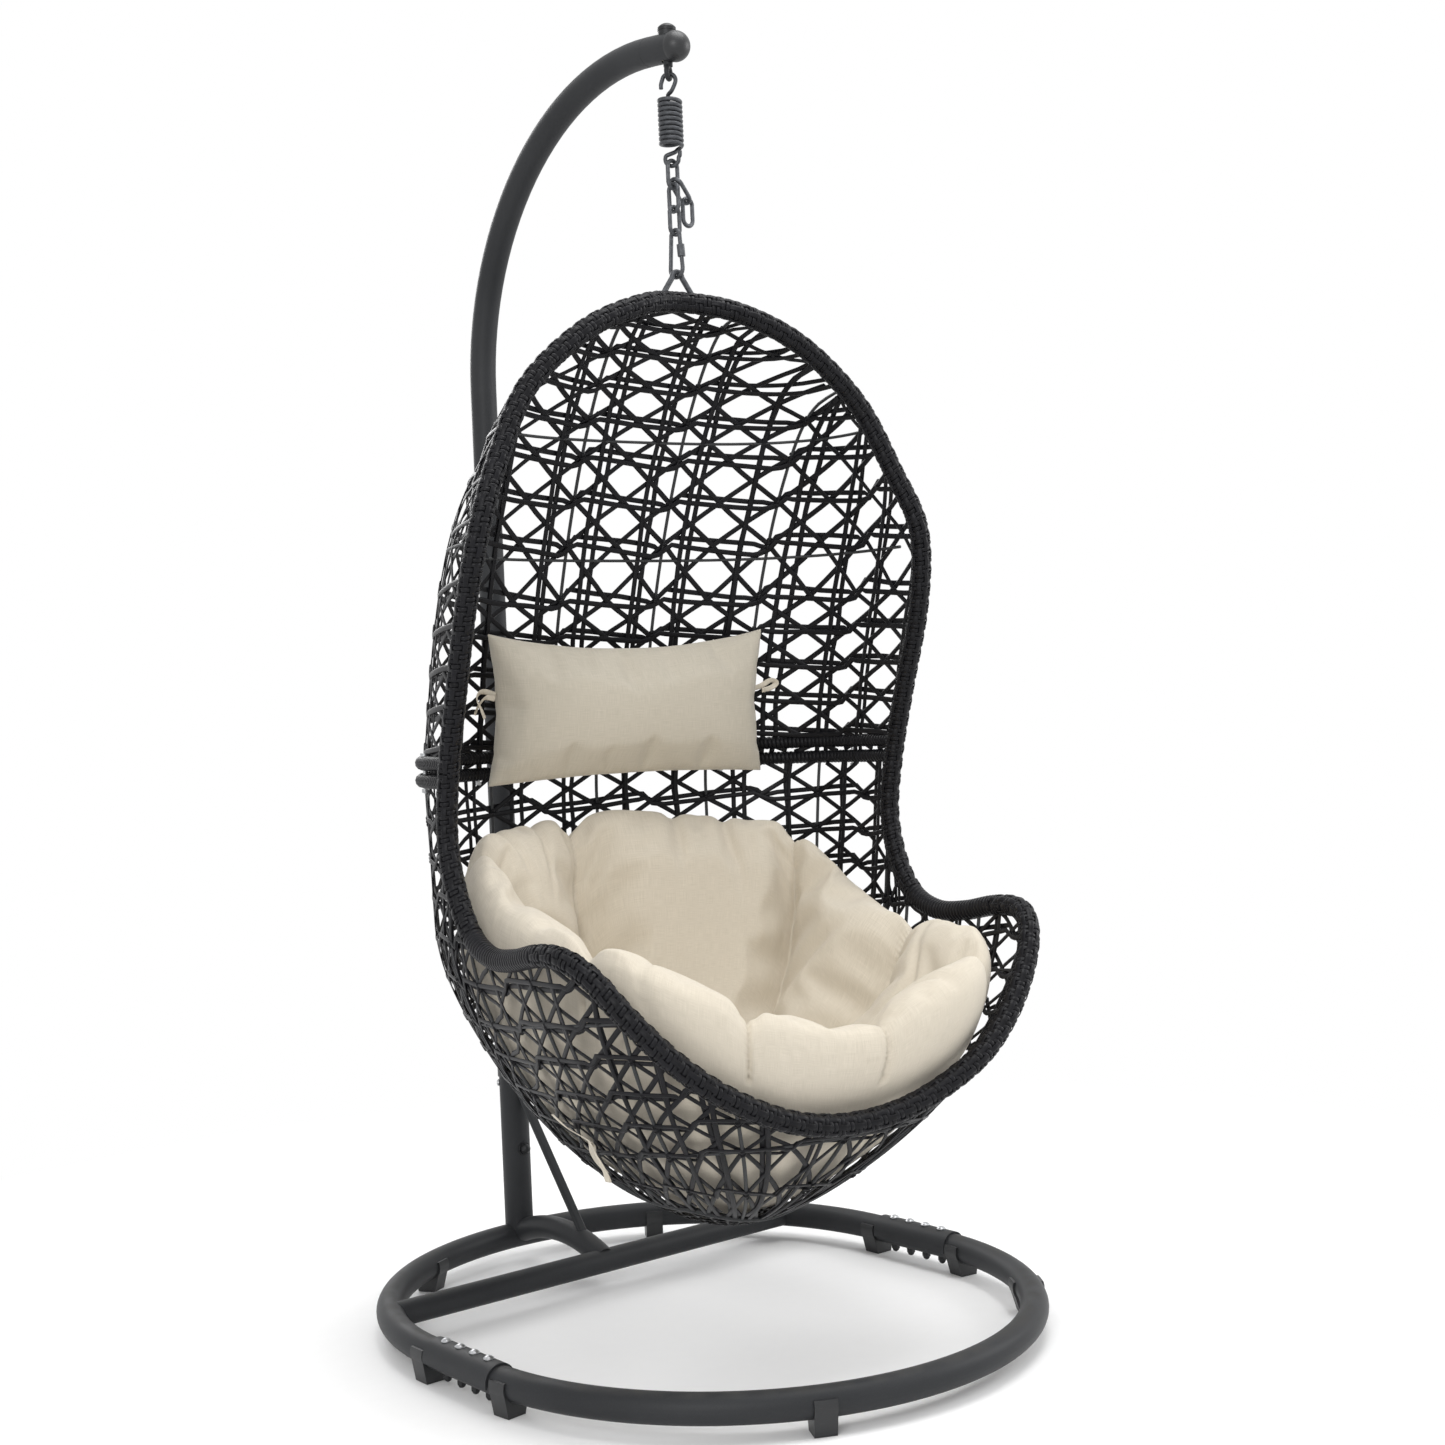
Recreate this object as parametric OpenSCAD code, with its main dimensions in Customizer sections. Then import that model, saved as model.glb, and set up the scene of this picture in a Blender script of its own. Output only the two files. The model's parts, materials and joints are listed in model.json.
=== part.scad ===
/* [Base ring] */
// Width of the base ring, between tube centres
ring_width = 876; // [860:1:890]
// Length of the straight stretch that holds each splice
ring_straight = 150; // [146:1:160]
// Outer diameter of the ring tube
ring_tube = 42; // [40:0.5:43]
// Drop of the clip feet below the ring tube
foot_drop = 19; // [12:1:24]
// Outer diameter of the crossbar and the spine
bar_tube = 38; // [34:0.5:38]
// Distance of the crossbar behind the ring centre
crossbar_y = 266; // [255:1:275]

/* [Pole] */
// Outer diameter of the post socket
post_tube = 48; // [47.6:0.1:49]
// Height of the post socket above the floor
post_top = 321; // [310:1:330]
// Outer diameter of the pole
pole_tube = 44; // [43.6:0.1:44]
// Height at which the pole starts to bend
bend_start = 1496; // [1490:1:1500]
// Radius of the pole's bend
bend_radius = 440; // [438:1:442]
// Angle of the pole's bend, past the horizontal
bend_angle = 98; // [97:0.5:99]

/* [Suspension] */
// Distance of the hanging line in front of the ring centre
hang_front = 33; // [32:1:34]
// Turn of the basket about its hanging line
basket_turn = -8.7; // [-20:0.1:20]
// Wire diameter of the spring
spring_wire = 6.4; // [5.5:0.1:6.4]
// Mean radius of the spring's coil
coil_radius = 16; // [15:0.5:17]
// Number of full turns in the coil
coil_turns = 10; // [9:1:10]
// Outer length of a chain link
link_length = 48; // [48:1:48]
// Outer width of a chain link
link_width = 26; // [26:0.5:27]
// Wire diameter of the chain
link_wire = 6.5; // [6:0.1:6.5]

/* [Basket] */
// Half of the basket's width, at the rim's centre
basket_half = 390; // [380:1:395]
// Depth of the back behind the basket's middle
back_depth = 368; // [355:1:375]
// Height of the bowl's lowest point above the floor
bowl_base = 160; // [158:1:162]
// Height of the joint between seat and hood
joint_height = 855; // [850:1:860]
// Diameter of the rim's steel tube
rim_tube = 25; // [22:1:25]
// Diameter of the rim over its woven wrap
wrap_tube = 33; // [31:1:34]
// Thickness of the woven skin
weave_skin = 7; // [5:0.5:7]

/* [Cushions] */
// Thickness of the seat cushion at its middle
cushion_thick = 112; // [90:1:115]
// Number of lobes round the seat cushion
cushion_lobes = 8; // [7:1:9]
// Width of the head pillow
pillow_width = 500; // [440:5:500]
// Height of the head pillow
pillow_height = 240; // [200:5:240]
// Thickness of the head pillow
pillow_thick = 95; // [70:5:100]

/* [Hidden] */
$fn = 64;

steel_wall = 1.8;
gap = 0.3;
ring_r = ring_tube / 2;
ring_half = ring_width / 2;
arc_y = ring_straight / 2;
ring_z = ring_r + foot_drop;
splice_y = -18;
splice_pitch = 36;
sleeve_long = 162;
sleeve_wall = 2.4;
bolt_d = 8;
clip_long = 30;
clip_wall = 3.2;
post_y = arc_y + ring_half + ring_r - post_tube / 2;
bar_r = bar_tube / 2;
pole_foot = 150;
pole_tail = 60;
cap_skirt = 4;
sleeve_gap = 0.8;
hook_gap = 1.2;
tail_lap = 0.5;
tail_step = 0.15;
hang_y = -hang_front;

// Front and rear clip feet, as angles from the ring's front and rear ends
front_clips = [-84.3, -26, 55, 84.3];
rear_clips = [-89.3, -28, 33, 89.3];

// Pole centre line
bend_y = post_y - bend_radius;
tail_y = bend_y + bend_radius * cos(bend_angle);
tail_z = bend_start + bend_radius * sin(bend_angle);
tail_fall = bend_angle - 90;
pole_hang_z = tail_z - (tail_y - hang_y) * tan(tail_fall);
pole_top_z = pole_hang_z + pole_tube / 2 / cos(tail_fall);

// Suspension heights, from the eye down to the basket's loop
eye_wire = 8;
eye_radius = 9;
eye_z = pole_hang_z - 37;
bolt_shank = 14;
bush_d = 19;
bush_long = 35;
hook_radius = 10.6;
hook_top_z = eye_z - eye_radius + eye_wire / 2 + gap + spring_wire / 2;
coil_pitch = spring_wire + 0.75;
coil_top_z = hook_top_z - 38;
coil_low_z = coil_top_z - coil_turns * coil_pitch;
hook_low_z = coil_low_z - 29;
link_mean = link_length - link_wire;
link_step = link_mean - link_wire - gap;
link_bend = (link_width - link_wire) / 2;
link_1_z = hook_low_z + (spring_wire + link_wire - link_mean) / 2 + hook_gap;
link_2_z = link_1_z - link_step;
link_3_z = link_2_z - link_step;
quick_top_z = link_3_z - link_mean / 2 + link_wire + gap;
quick_long = 71;
quick_top_bend = 9;
quick_low_bend = 13;
loop_wire = 8.5;
loop_z = quick_top_z - quick_long + link_wire / 2 + gap + loop_wire / 2;
hook_turn = -55;
chain_turn = 5;
spare_tilt = 40;
spare_shift = [1.2, 7.1];

// Basket shape, about the hanging line
bowl_y = -27;
hood_top = 1550;
wide_z = 620;
deep_z = 800;
bar_drop = 13;
hood_bulge = 2.75;
hood_rib_x = [88, 262];
hood_hoop_z = [1178, 1358];
low_hoop_z = [300, 340];
high_hoop_z = [490, 550];
bar_d = 22;
rib_d = 5;
skin_centre = [0, bowl_y, joint_height];

// Right half of the hood's rim, from its top to the joint
hood_points = [
    [0, 0, 1544], [85, -34, 1527], [186, -49, 1481], [282, -54, 1396], [338, -65, 1290],
    [374, -77, 1198], [389, -50, 1086], [basket_half, 0, 953], [basket_half, 34, joint_height]
];
// Right half of the seat's rim, from the joint to its front
seat_points = [
    [basket_half, 34, joint_height], [388, 52, 755], [385, 30, 676], [383, -14, 622],
    [382, -75, 600], [382, -145, 603], [383, -215, 615], [377, -280, 616], [358, -325, 592],
    [324, -354, 541], [270, -377, 480], [200, -391, 427], [100, -388, 382], [0, -384, 367]
];

function unit(v) = v / norm(v);
function flip(p) = [-p[0], p[1], p[2]];
function tail(list) = [for (i = [1 : len(list) - 1]) list[i]];
function back_to_front(list) = [for (i = [len(list) - 1 : -1 : 0]) list[i]];
function mix(a, b, t) = a + (b - a) * t;

// Smooth curve through points p1 and p2, with p0 and p3 beyond them
function curve_point(p0, p1, p2, p3, t) =
    p1 + 0.5 * t * ((p2 - p0) + t * ((2 * p0 - 5 * p1 + 4 * p2 - p3)
    + t * (3 * (p1 - p2) + p3 - p0)));

// Curve through every point but the first and the last, which only set the end slopes
function curve(points, steps) = [
    for (i = [1 : len(points) - 3])
        for (k = [0 : steps - 1])
            curve_point(points[i - 1], points[i], points[i + 1], points[i + 2], k / steps),
    points[len(points) - 2]
];

function lengths(path, i = 0, sum = 0, out = []) = i >= len(path) ? out
    : let (total = i == 0 ? 0 : sum + norm(path[i] - path[i - 1]))
      lengths(path, i + 1, total, concat(out, [total]));

// The same path with evenly spaced points
function even_path(path, count) =
    let (at = lengths(path), whole = at[len(at) - 1])
    [for (k = [0 : count])
        let (
            want = whole * k / count,
            i = max([for (j = [0 : len(at) - 2]) at[j] <= want + 0.001 ? j : 0]),
            t = (want - at[i]) / (at[i + 1] - at[i])
        ) mix(path[i], path[i + 1], min(t, 1))];

function slopes(path, closed) = [
    for (i = [0 : len(path) - 1])
        unit(closed
            ? path[(i + 1) % len(path)] - path[(i + len(path) - 1) % len(path)]
            : path[min(i + 1, len(path) - 1)] - path[max(i - 1, 0)])
];

// Sideways directions carried along a path without twist
function carried(slope) = [
    for (
        i = 0, side = unit(cross(slope[0], abs(slope[0][2]) < 0.9 ? [0, 0, 1] : [1, 0, 0]));
        i < len(slope);
        i = i + 1,
        side = i < len(slope) ? unit(side - (side * slope[i]) * slope[i]) : side
    ) side
];

function rings(path, radius, sides, closed) =
    let (slope = slopes(path, closed),
        side = closed ? [for (s = slope) unit(cross(s, [0, 0, 1]))] : carried(slope))
    [for (i = [0 : len(path) - 1])
        for (k = [0 : sides - 1])
            path[i] + radius * (cos(360 * k / sides) * side[i]
            + sin(360 * k / sides) * cross(slope[i], side[i]))];

// Two triangles between point k and k + 1 of rows a and b
function cell(a, a_next, b, b_next) = [[a, b, b_next], [a, b_next, a_next]];

function wall_faces(rows, sides, first, closed, inward) = [
    for (i = [0 : rows - (closed ? 1 : 2)])
        for (k = [0 : sides - 1])
            let (
                a = first + i * sides + k,
                a_next = first + i * sides + (k + 1) % sides,
                b = first + ((i + 1) % rows) * sides + k,
                b_next = first + ((i + 1) % rows) * sides + (k + 1) % sides
            )
            each inward ? cell(a, b, a_next, b_next) : cell(a, a_next, b, b_next)
];

// Solid round tube along a path
module swept_rod(path, diameter, sides = 8, closed = false) {
    points = rings(path, diameter / 2, sides, closed);
    rows = len(path);
    ends = closed ? [] : concat(
        [for (k = [1 : sides - 2]) [0, k, k + 1]],
        [for (k = [1 : sides - 2]) [(rows - 1) * sides, (rows - 1) * sides + k + 1,
            (rows - 1) * sides + k]]
    );
    polyhedron(points, concat(wall_faces(rows, sides, 0, closed, false), ends));
}

// Hollow round tube along a path
module swept_sleeve(path, inner, outer, sides = 8) {
    rows = len(path);
    count = rows * sides;
    points = concat(rings(path, outer / 2, sides, false), rings(path, inner / 2, sides, false));
    ends = [for (k = [0 : sides - 1])
        let (k_next = (k + 1) % sides, last = (rows - 1) * sides)
        each concat(cell(k, count + k, k_next, count + k_next),
            cell(last + k, last + k_next, count + last + k, count + last + k_next))];
    polyhedron(points, concat(wall_faces(rows, sides, 0, false, false),
        wall_faces(rows, sides, count, false, true), ends));
}

// ---------- Stand ----------

module ring_arc(radius) {
    translate([0, arc_y, ring_z])
        rotate_extrude(angle = 180)
            translate([ring_half, 0])
                circle(radius);
}

// Tube solid of one half of the ring, from its arc to the splice
module ring_half_solid(radius, rear, extra = 0) {
    end_y = (rear ? splice_y : -splice_y) - extra;
    mirror([0, rear ? 0 : 1, 0]) {
        ring_arc(radius);
        for (x = [-ring_half, ring_half])
            translate([x, arc_y, ring_z])
                rotate([90, 0, 0])
                    cylinder(h = arc_y - end_y, r = radius);
    }
}

function splice_places() = [
    for (x = [-ring_half, ring_half])
        for (k = [-1.5 : 1 : 1.5])
            [x, splice_y + k * splice_pitch, ring_z]
];

module splice_holes() {
    for (p = splice_places())
        translate(p)
            cylinder(h = 80, d = bolt_d + 0.4, center = true);
}

module ring_tube_half(rear) {
    difference() {
        ring_half_solid(ring_r, rear);
        ring_half_solid(ring_r - steel_wall, rear, 1);
        splice_holes();
    }
}

module base_ring_front() {
    color("#3d4043")
        ring_tube_half(false);
}

module base_ring_rear() {
    color("#3d4043")
        ring_tube_half(true);
}

module splice_sleeve(x) {
    inner = ring_r + sleeve_gap;
    outer = inner + sleeve_wall;
    skirt = 7;
    color("#3d4043")
        difference() {
            translate([x, splice_y, ring_z])
                rotate([90, 0, 0])
                    linear_extrude(sleeve_long, center = true)
                        difference() {
                            union() {
                                circle(outer);
                                translate([-outer, -skirt])
                                    square([2 * outer, skirt]);
                            }
                            circle(inner);
                            translate([-inner, -skirt])
                                square([2 * inner, skirt]);
                            translate([-2 * outer, -skirt - 2 * outer])
                                square([4 * outer, 2 * outer]);
                        }
            splice_holes();
        }
}

module splice_bolts() {
    top = ring_r + sleeve_gap + sleeve_wall;
    color("silver")
        for (p = splice_places())
            translate(p) {
                translate([0, 0, -ring_r - 5])
                    cylinder(h = ring_r + 5 + top, d = bolt_d);
                translate([0, 0, top])
                    cylinder(h = 1.2, d = 15);
                translate([0, 0, top + 1.2])
                    intersection() {
                        translate([0, 0, -5.5])
                            sphere(9);
                        cylinder(h = 5, d = 14);
                    }
            }
}

module splice_nuts() {
    color("#17181a")
        for (p = splice_places())
            translate([p[0], p[1], p[2] - ring_r])
                difference() {
                    union() {
                        translate([0, 0, -6.2])
                            cylinder(h = 6, d = 14, $fn = 6);
                        translate([0, 0, -6.2])
                            sphere(5.6);
                    }
                    translate([0, 0, -5.2])
                        cylinder(h = 6, d = bolt_d + 0.2);
                    cylinder(h = 20, d = 30);
                }
}

// Outline of a clip foot across the tube
module clip_outline() {
    inner = ring_r + 0.2;
    outer = inner + clip_wall;
    difference() {
        union() {
            circle(outer);
            polygon([[-outer, 0], [outer, 0], [17, -ring_z], [-13, -ring_z]]);
        }
        circle(inner);
        translate([-2 * outer, 9])
            square([4 * outer, 2 * outer]);
        translate([-2 * outer, -ring_z - 2 * outer])
            square([4 * outer, 2 * outer]);
    }
}

module arc_clip(angle) {
    width = clip_long / ring_half * 180 / PI;
    translate([0, arc_y, ring_z])
        rotate(90 - angle - width / 2)
            rotate_extrude(angle = width)
                translate([ring_half, 0])
                    clip_outline();
}

module clip_feet() {
    color("#17181a") {
        for (a = rear_clips)
            arc_clip(a);
        for (a = front_clips)
            mirror([0, 1, 0])
                arc_clip(a);
    }
}

// Clearance shape of the whole ring tube, for parts that are welded on it
module ring_cut() {
    ring_half_solid(ring_r + 0.02, true);
}

module crossbar_solid(radius) {
    translate([0, crossbar_y, ring_z])
        rotate([0, 90, 0])
            cylinder(h = ring_width, r = radius, center = true);
}

module crossbar() {
    reach = sqrt(pow(ring_half, 2) - pow(crossbar_y - arc_y, 2));
    color("#3d4043")
        difference() {
            intersection() {
                crossbar_solid(bar_r);
                translate([-reach, 0, 0])
                    cube([2 * reach, 600, 200]);
            }
            crossbar_solid(bar_r - steel_wall);
            ring_cut();
        }
}

spine_low_z = ring_z + 4;
spine_span = post_y - crossbar_y;
spine_rise = 26;
spine_bend = spine_span * spine_span / 8 / spine_rise + spine_rise / 2;
spine_angle = 2 * asin(spine_span / 2 / spine_bend);

module spine_solid(radius) {
    translate([0, crossbar_y + spine_span / 2, spine_low_z + spine_rise - spine_bend])
        rotate([90, 0, 90])
            rotate(90 - spine_angle / 2)
                rotate_extrude(angle = spine_angle)
                    translate([spine_bend, 0])
                        circle(radius);
}

module spine_tube() {
    color("#3d4043")
        difference() {
            spine_solid(bar_r);
            spine_solid(bar_r - steel_wall);
            crossbar_solid(bar_r + 0.02);
            translate([0, arc_y + ring_half, ring_z])
                rotate([0, 90, 0])
                    cylinder(h = 2 * bar_tube, r = ring_r + 0.6, center = true);
            translate([0, post_y, 0])
                cylinder(h = 200, d = post_tube + 0.04);
        }
}

post_bolt_z = 192;
post_screw_z = 303;
post_screw_turn = 142;

module post_holes() {
    translate([0, post_y, post_bolt_z])
        rotate([90, 0, 0])
            cylinder(h = 40, d = bolt_d + 0.4);
    translate([0, post_y, post_screw_z])
        rotate([0, 90, post_screw_turn])
            cylinder(h = 40, d = 6.4);
}

module post_socket() {
    color("#3d4043")
        difference() {
            translate([0, post_y, ring_z])
                cylinder(h = post_top - ring_z, d = post_tube);
            translate([0, post_y, ring_z - 1])
                cylinder(h = post_top, d = pole_tube + 0.3);
            ring_cut();
            post_holes();
        }
}

brace_top = [post_y - post_tube / 2 + 3, 290];
brace_low = [318, ring_z + 33];
brace_size = [17, 9];

// Flattened tube from the front of the post down to the spine
module post_brace() {
    run = brace_top - brace_low;
    color("#3d4043")
        difference() {
            translate([0, brace_low[0], brace_low[1]])
                rotate([-atan2(run[0], run[1]), 0, 0])
                    linear_extrude(norm(run))
                        hull()
                            for (side = [-1, 1])
                                translate([side * (brace_size[0] - brace_size[1]) / 2, 0])
                                    circle(d = brace_size[1], $fn = 32);
            translate([0, post_y, 0])
                cylinder(h = 400, d = post_tube + 0.04);
            spine_solid(bar_r + 0.02);
        }
}

module post_collar() {
    color("#17181a")
        translate([0, post_y, post_top]) {
            difference() {
                translate([0, 0, -6])
                    cylinder(h = 42, d = 52);
                translate([0, 0, -7])
                    cylinder(h = 44, d = pole_tube + 0.3);
                translate([0, 0, -7])
                    cylinder(h = 7, d = post_tube + 0.2);
                translate([0, 0, 32])
                    difference() {
                        cylinder(h = 5, d = 60);
                        cylinder(h = 5, d1 = 52, d2 = 47);
                    }
            }
        }
}

module post_screw() {
    color("silver")
        translate([0, post_y, post_screw_z])
            rotate([0, 90, post_screw_turn])
                difference() {
                    union() {
                        translate([0, 0, 14])
                            cylinder(h = post_tube / 2 - 13.8, d = 6);
                        translate([0, 0, post_tube / 2 + 0.2])
                            cylinder(h = 2.2, d = 12);
                        translate([0, 0, post_tube / 2 + 2.4])
                            intersection() {
                                translate([0, 0, -8])
                                    sphere(10);
                                cylinder(h = 3, d = 12);
                            }
                    }
                    for (turn = [0, 90])
                        rotate(turn)
                            translate([0, 0, post_tube / 2 + 4])
                                cube([7, 1.4, 4], center = true);
                }
}

module post_bolt() {
    color("#17181a")
        translate([0, post_y, post_bolt_z])
            rotate([90, 0, 0]) {
                translate([0, 0, 12])
                    cylinder(h = post_tube / 2 - 9, d = bolt_d);
                translate([0, 0, post_tube / 2 + 3])
                    cylinder(h = 3, d = 17);
                translate([0, 0, post_tube / 2 + 6])
                    intersection() {
                        sphere(8);
                        cylinder(h = 9, d = 17);
                    }
            }
}

module post_bolt_washer() {
    color("#17181a")
        difference() {
            translate([0, post_y, post_bolt_z])
                rotate([90, 0, 0])
                    translate([0, 0, post_tube / 2 - 5])
                        cylinder(h = 8, d = 21);
            translate([0, post_y, post_bolt_z])
                rotate([90, 0, 0])
                    cylinder(h = 60, d = bolt_d + 0.3);
            translate([0, post_y, 100])
                cylinder(h = 200, d = post_tube + 0.04);
        }
}

// Pole solid of any radius, from its foot to its open end, longer by extra at both ends
module pole_solid(radius, extra = 0) {
    translate([0, post_y, pole_foot - extra])
        cylinder(h = bend_start - pole_foot + extra, r = radius);
    translate([0, bend_y, bend_start])
        rotate([90, 0, 90])
            rotate_extrude(angle = bend_angle)
                translate([bend_radius, 0])
                    circle(radius);
    translate([0, tail_y, tail_z])
        rotate([90 + tail_fall, 0, 0])
            translate([0, 0, -tail_lap])
                cylinder(h = pole_tail + tail_lap + extra, r = radius - tail_step);
}

module pole() {
    color("#3d4043")
        difference() {
            pole_solid(pole_tube / 2);
            pole_solid(pole_tube / 2 - steel_wall, 1);
            translate([0, hang_y, pole_hang_z - 60])
                cylinder(h = 120, d = bush_d + 0.2);
            post_holes();
        }
}

module pole_end_cap() {
    color("#3a3d40")
        translate([0, tail_y, tail_z])
            rotate([90 + tail_fall, 0, 0])
                translate([0, 0, pole_tail]) {
                    translate([0, 0, -cap_skirt])
                        cylinder(h = cap_skirt + 1, r = pole_tube / 2 - steel_wall - 0.3);
                    intersection() {
                        translate([0, 0, 1])
                            sphere(pole_tube / 2 + 1);
                        translate([0, 0, 0.1])
                            cylinder(h = 40, r = pole_tube / 2 + 1.2);
                    }
                }
}

module swivel_bush() {
    color("ivory")
        translate([0, hang_y, pole_hang_z - bush_long / 2])
            difference() {
                cylinder(h = bush_long, d = bush_d);
                translate([0, 0, -1])
                    cylinder(h = pole_tube, d = bolt_shank + 0.16);
            }
}

washer_top_z = pole_top_z + 3;

module saddle_washer() {
    color("#17181a")
        difference() {
            translate([0, hang_y, washer_top_z - 10])
                cylinder(h = 10, d = 27);
            pole_solid(pole_tube / 2 + 0.02);
            translate([0, hang_y, washer_top_z - 30])
                cylinder(h = 40, d = bolt_shank + 0.3);
            translate([0, hang_y, washer_top_z - 80])
                cylinder(h = 80 - 12, d = 40);
        }
}

module eye_bolt() {
    nut_seat = washer_top_z + 6;
    color("#3a3d40")
        translate([0, hang_y, 0]) {
            difference() {
                translate([0, 0, eye_z + eye_radius])
                    cylinder(h = nut_seat - eye_z - eye_radius, d = bolt_shank);
                translate([0, 0, eye_z])
                    rotate([90, 0, hook_turn + 90])
                        cylinder(h = 30, r = eye_radius - eye_wire / 2, center = true);
            }
            translate([0, 0, eye_z])
                rotate([90, 0, hook_turn + 90])
                    rotate_extrude()
                        translate([eye_radius, 0])
                            circle(d = eye_wire);
        }
}

module dome_nut() {
    base = washer_top_z + 0.2;
    color("#2b2d30")
        translate([0, hang_y, base])
            difference() {
                intersection() {
                    cylinder(h = 12, d = 28);
                    translate([0, 0, -6])
                        sphere(17.5);
                }
                translate([0, 0, -1])
                    cylinder(h = 7, d = bolt_shank + 0.02);
            }
}

// ---------- Suspension ----------

module hang() {
    translate([0, hang_y, 0])
        children();
}

// Upper hook from its tip to the coil, then the coil, then the lower hook
hook_steps = 7;
function hook_arc(centre_z, from, to) = [
    for (k = [0 : hook_steps])
        let (a = mix(from, to, k / hook_steps))
        [hook_radius * cos(a), 0, centre_z + hook_radius * sin(a)]
];
function around(p, a) = [
    p[0] * cos(a) - p[1] * sin(a), p[0] * sin(a) + p[1] * cos(a), p[2]
];
function coil_start() = 90;
function coil_line(a) = [
    coil_radius * cos(a), coil_radius * sin(a),
    coil_top_z - (a - coil_start()) / 360 * coil_pitch
];
function upper_hook() = concat(
    [[-12.6, 0, hook_top_z - 21.5], [-12.4, 0, hook_top_z - 15]],
    hook_arc(hook_top_z - hook_radius, 172, -28),
    [[3.8, 0.6, coil_top_z + 12.5], [-3.5, 4.5, coil_top_z + 7.6],
        [-5.5, 11.6, coil_top_z + 2.6]]
);
function lower_hook() = concat(
    [[5.5, 11.6, coil_low_z - 2.6], [3.5, 4.5, coil_low_z - 7.6],
        [-3.8, 0.6, coil_low_z - 11]],
    hook_arc(hook_low_z + hook_radius, 152, 368),
    [[12.4, 0, hook_low_z + 15], [12.6, 0, hook_low_z + 21.5]]
);
function coil() = [
    for (k = [1 : 8 * coil_turns - 1])
        coil_line(coil_start() + k * 45)
];
function spring_path() =
    [for (p = concat(upper_hook(), coil(), lower_hook())) around(p, hook_turn)];

// Least distance between stretches of the wire more than two diameters apart
function least_gap(path) =
    let (at = lengths(path), apart = 2.5 * spring_wire)
    min([for (i = [0 : len(path) - 2])
        for (j = [i + 1 : len(path) - 1])
            if (at[j] - at[i] > apart) norm(path[j] - path[i])]) - spring_wire;

module spring() {
    path = spring_path();
    echo(spring_least_gap_mm = least_gap(path));
    color("#55585c")
        hang()
            swept_rod(path, spring_wire, 6);
}

// Straight-sided oval link, its middle at the origin, lying in the XZ plane
module chain_link() {
    straight = link_mean - 2 * link_bend;
    for (side = [-1, 1])
        translate([side * link_bend, 0, 0])
            cylinder(h = straight, d = link_wire, center = true);
    for (up = [0, 1])
        mirror([0, 0, up])
            translate([0, 0, straight / 2])
                rotate([90, 0, 0])
                    rotate_extrude(angle = 180)
                        translate([link_bend, 0])
                            circle(d = link_wire);
}

module hung_link(z, turn) {
    color("#6a6d71")
        hang()
            translate([0, 0, z])
                rotate(turn)
                    chain_link();
}

spare_top = [spare_shift[0], link_2_z + link_mean / 2 + spare_shift[1]];
spare_low = spare_top + link_mean * [sin(spare_tilt), -cos(spare_tilt)];

module spare_link_1() {
    middle = (spare_top + spare_low) / 2;
    color("#6a6d71")
        hang()
            rotate(chain_turn)
                translate([middle[0], 0, middle[1]])
                    rotate([0, -spare_tilt, 0])
                        rotate(90)
                            chain_link();
}

module spare_link_2() {
    color("#6a6d71")
        hang()
            rotate(chain_turn)
                translate([spare_low[0], 0, spare_low[1] + link_wire + gap - link_mean / 2])
                    chain_link();
}

// Quick link: a pear of wire with a gap in one leg, closed by the nut
quick_lean = asin((quick_low_bend - quick_top_bend)
    / (quick_long - quick_low_bend - quick_top_bend));
quick_leg = sqrt(pow(quick_long - quick_low_bend - quick_top_bend, 2)
    - pow(quick_low_bend - quick_top_bend, 2));
quick_top_c = quick_top_z - quick_top_bend;
quick_gap = 10;
quick_lap = 0.5;
nut_long = 18;

module quick_arc(z, bend, from, angle) {
    translate([0, 0, z])
        rotate([90, 0, 0])
            rotate(from)
                rotate_extrude(angle = angle)
                    translate([bend, 0])
                        circle(d = link_wire);
}

module on_quick_leg(side) {
    mirror([side < 0 ? 1 : 0, 0, 0])
        translate([0, 0, quick_top_c])
            rotate([0, -quick_lean, 0])
                translate([quick_top_bend, 0, 0])
                    children();
}

module in_quick_plane() {
    hang()
        rotate(chain_turn + 90)
            children();
}

module quick_link() {
    color("#6a6d71")
        in_quick_plane() {
            quick_arc(quick_top_c, quick_top_bend, quick_lean, 180 - 2 * quick_lean);
            quick_arc(quick_top_z - quick_long + quick_low_bend, quick_low_bend,
                180 - quick_lean, 180 + 2 * quick_lean);
            for (side = [-1, 1])
                on_quick_leg(side)
                    difference() {
                        translate([0, 0, -quick_leg - quick_lap])
                            cylinder(h = quick_leg + 2 * quick_lap, d = link_wire - 0.1);
                        if (side < 0)
                            translate([0, 0, -quick_leg / 2])
                                cylinder(h = quick_gap, d = 2 * link_wire, center = true);
                    }
        }
}

module quick_link_nut() {
    color("#7a7d81")
        in_quick_plane()
            on_quick_leg(-1)
                translate([0, 0, -quick_leg / 2])
                    difference() {
                        intersection() {
                            cylinder(h = nut_long, d = 12.5, center = true, $fn = 6);
                            cylinder(h = nut_long, d = 11.8, center = true);
                        }
                        cylinder(h = nut_long + 2, d = link_wire + 0.16, center = true);
                    }
}

// ---------- Basket ----------

module in_basket() {
    translate([0, hang_y, 0])
        rotate(basket_turn)
            children();
}

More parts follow.
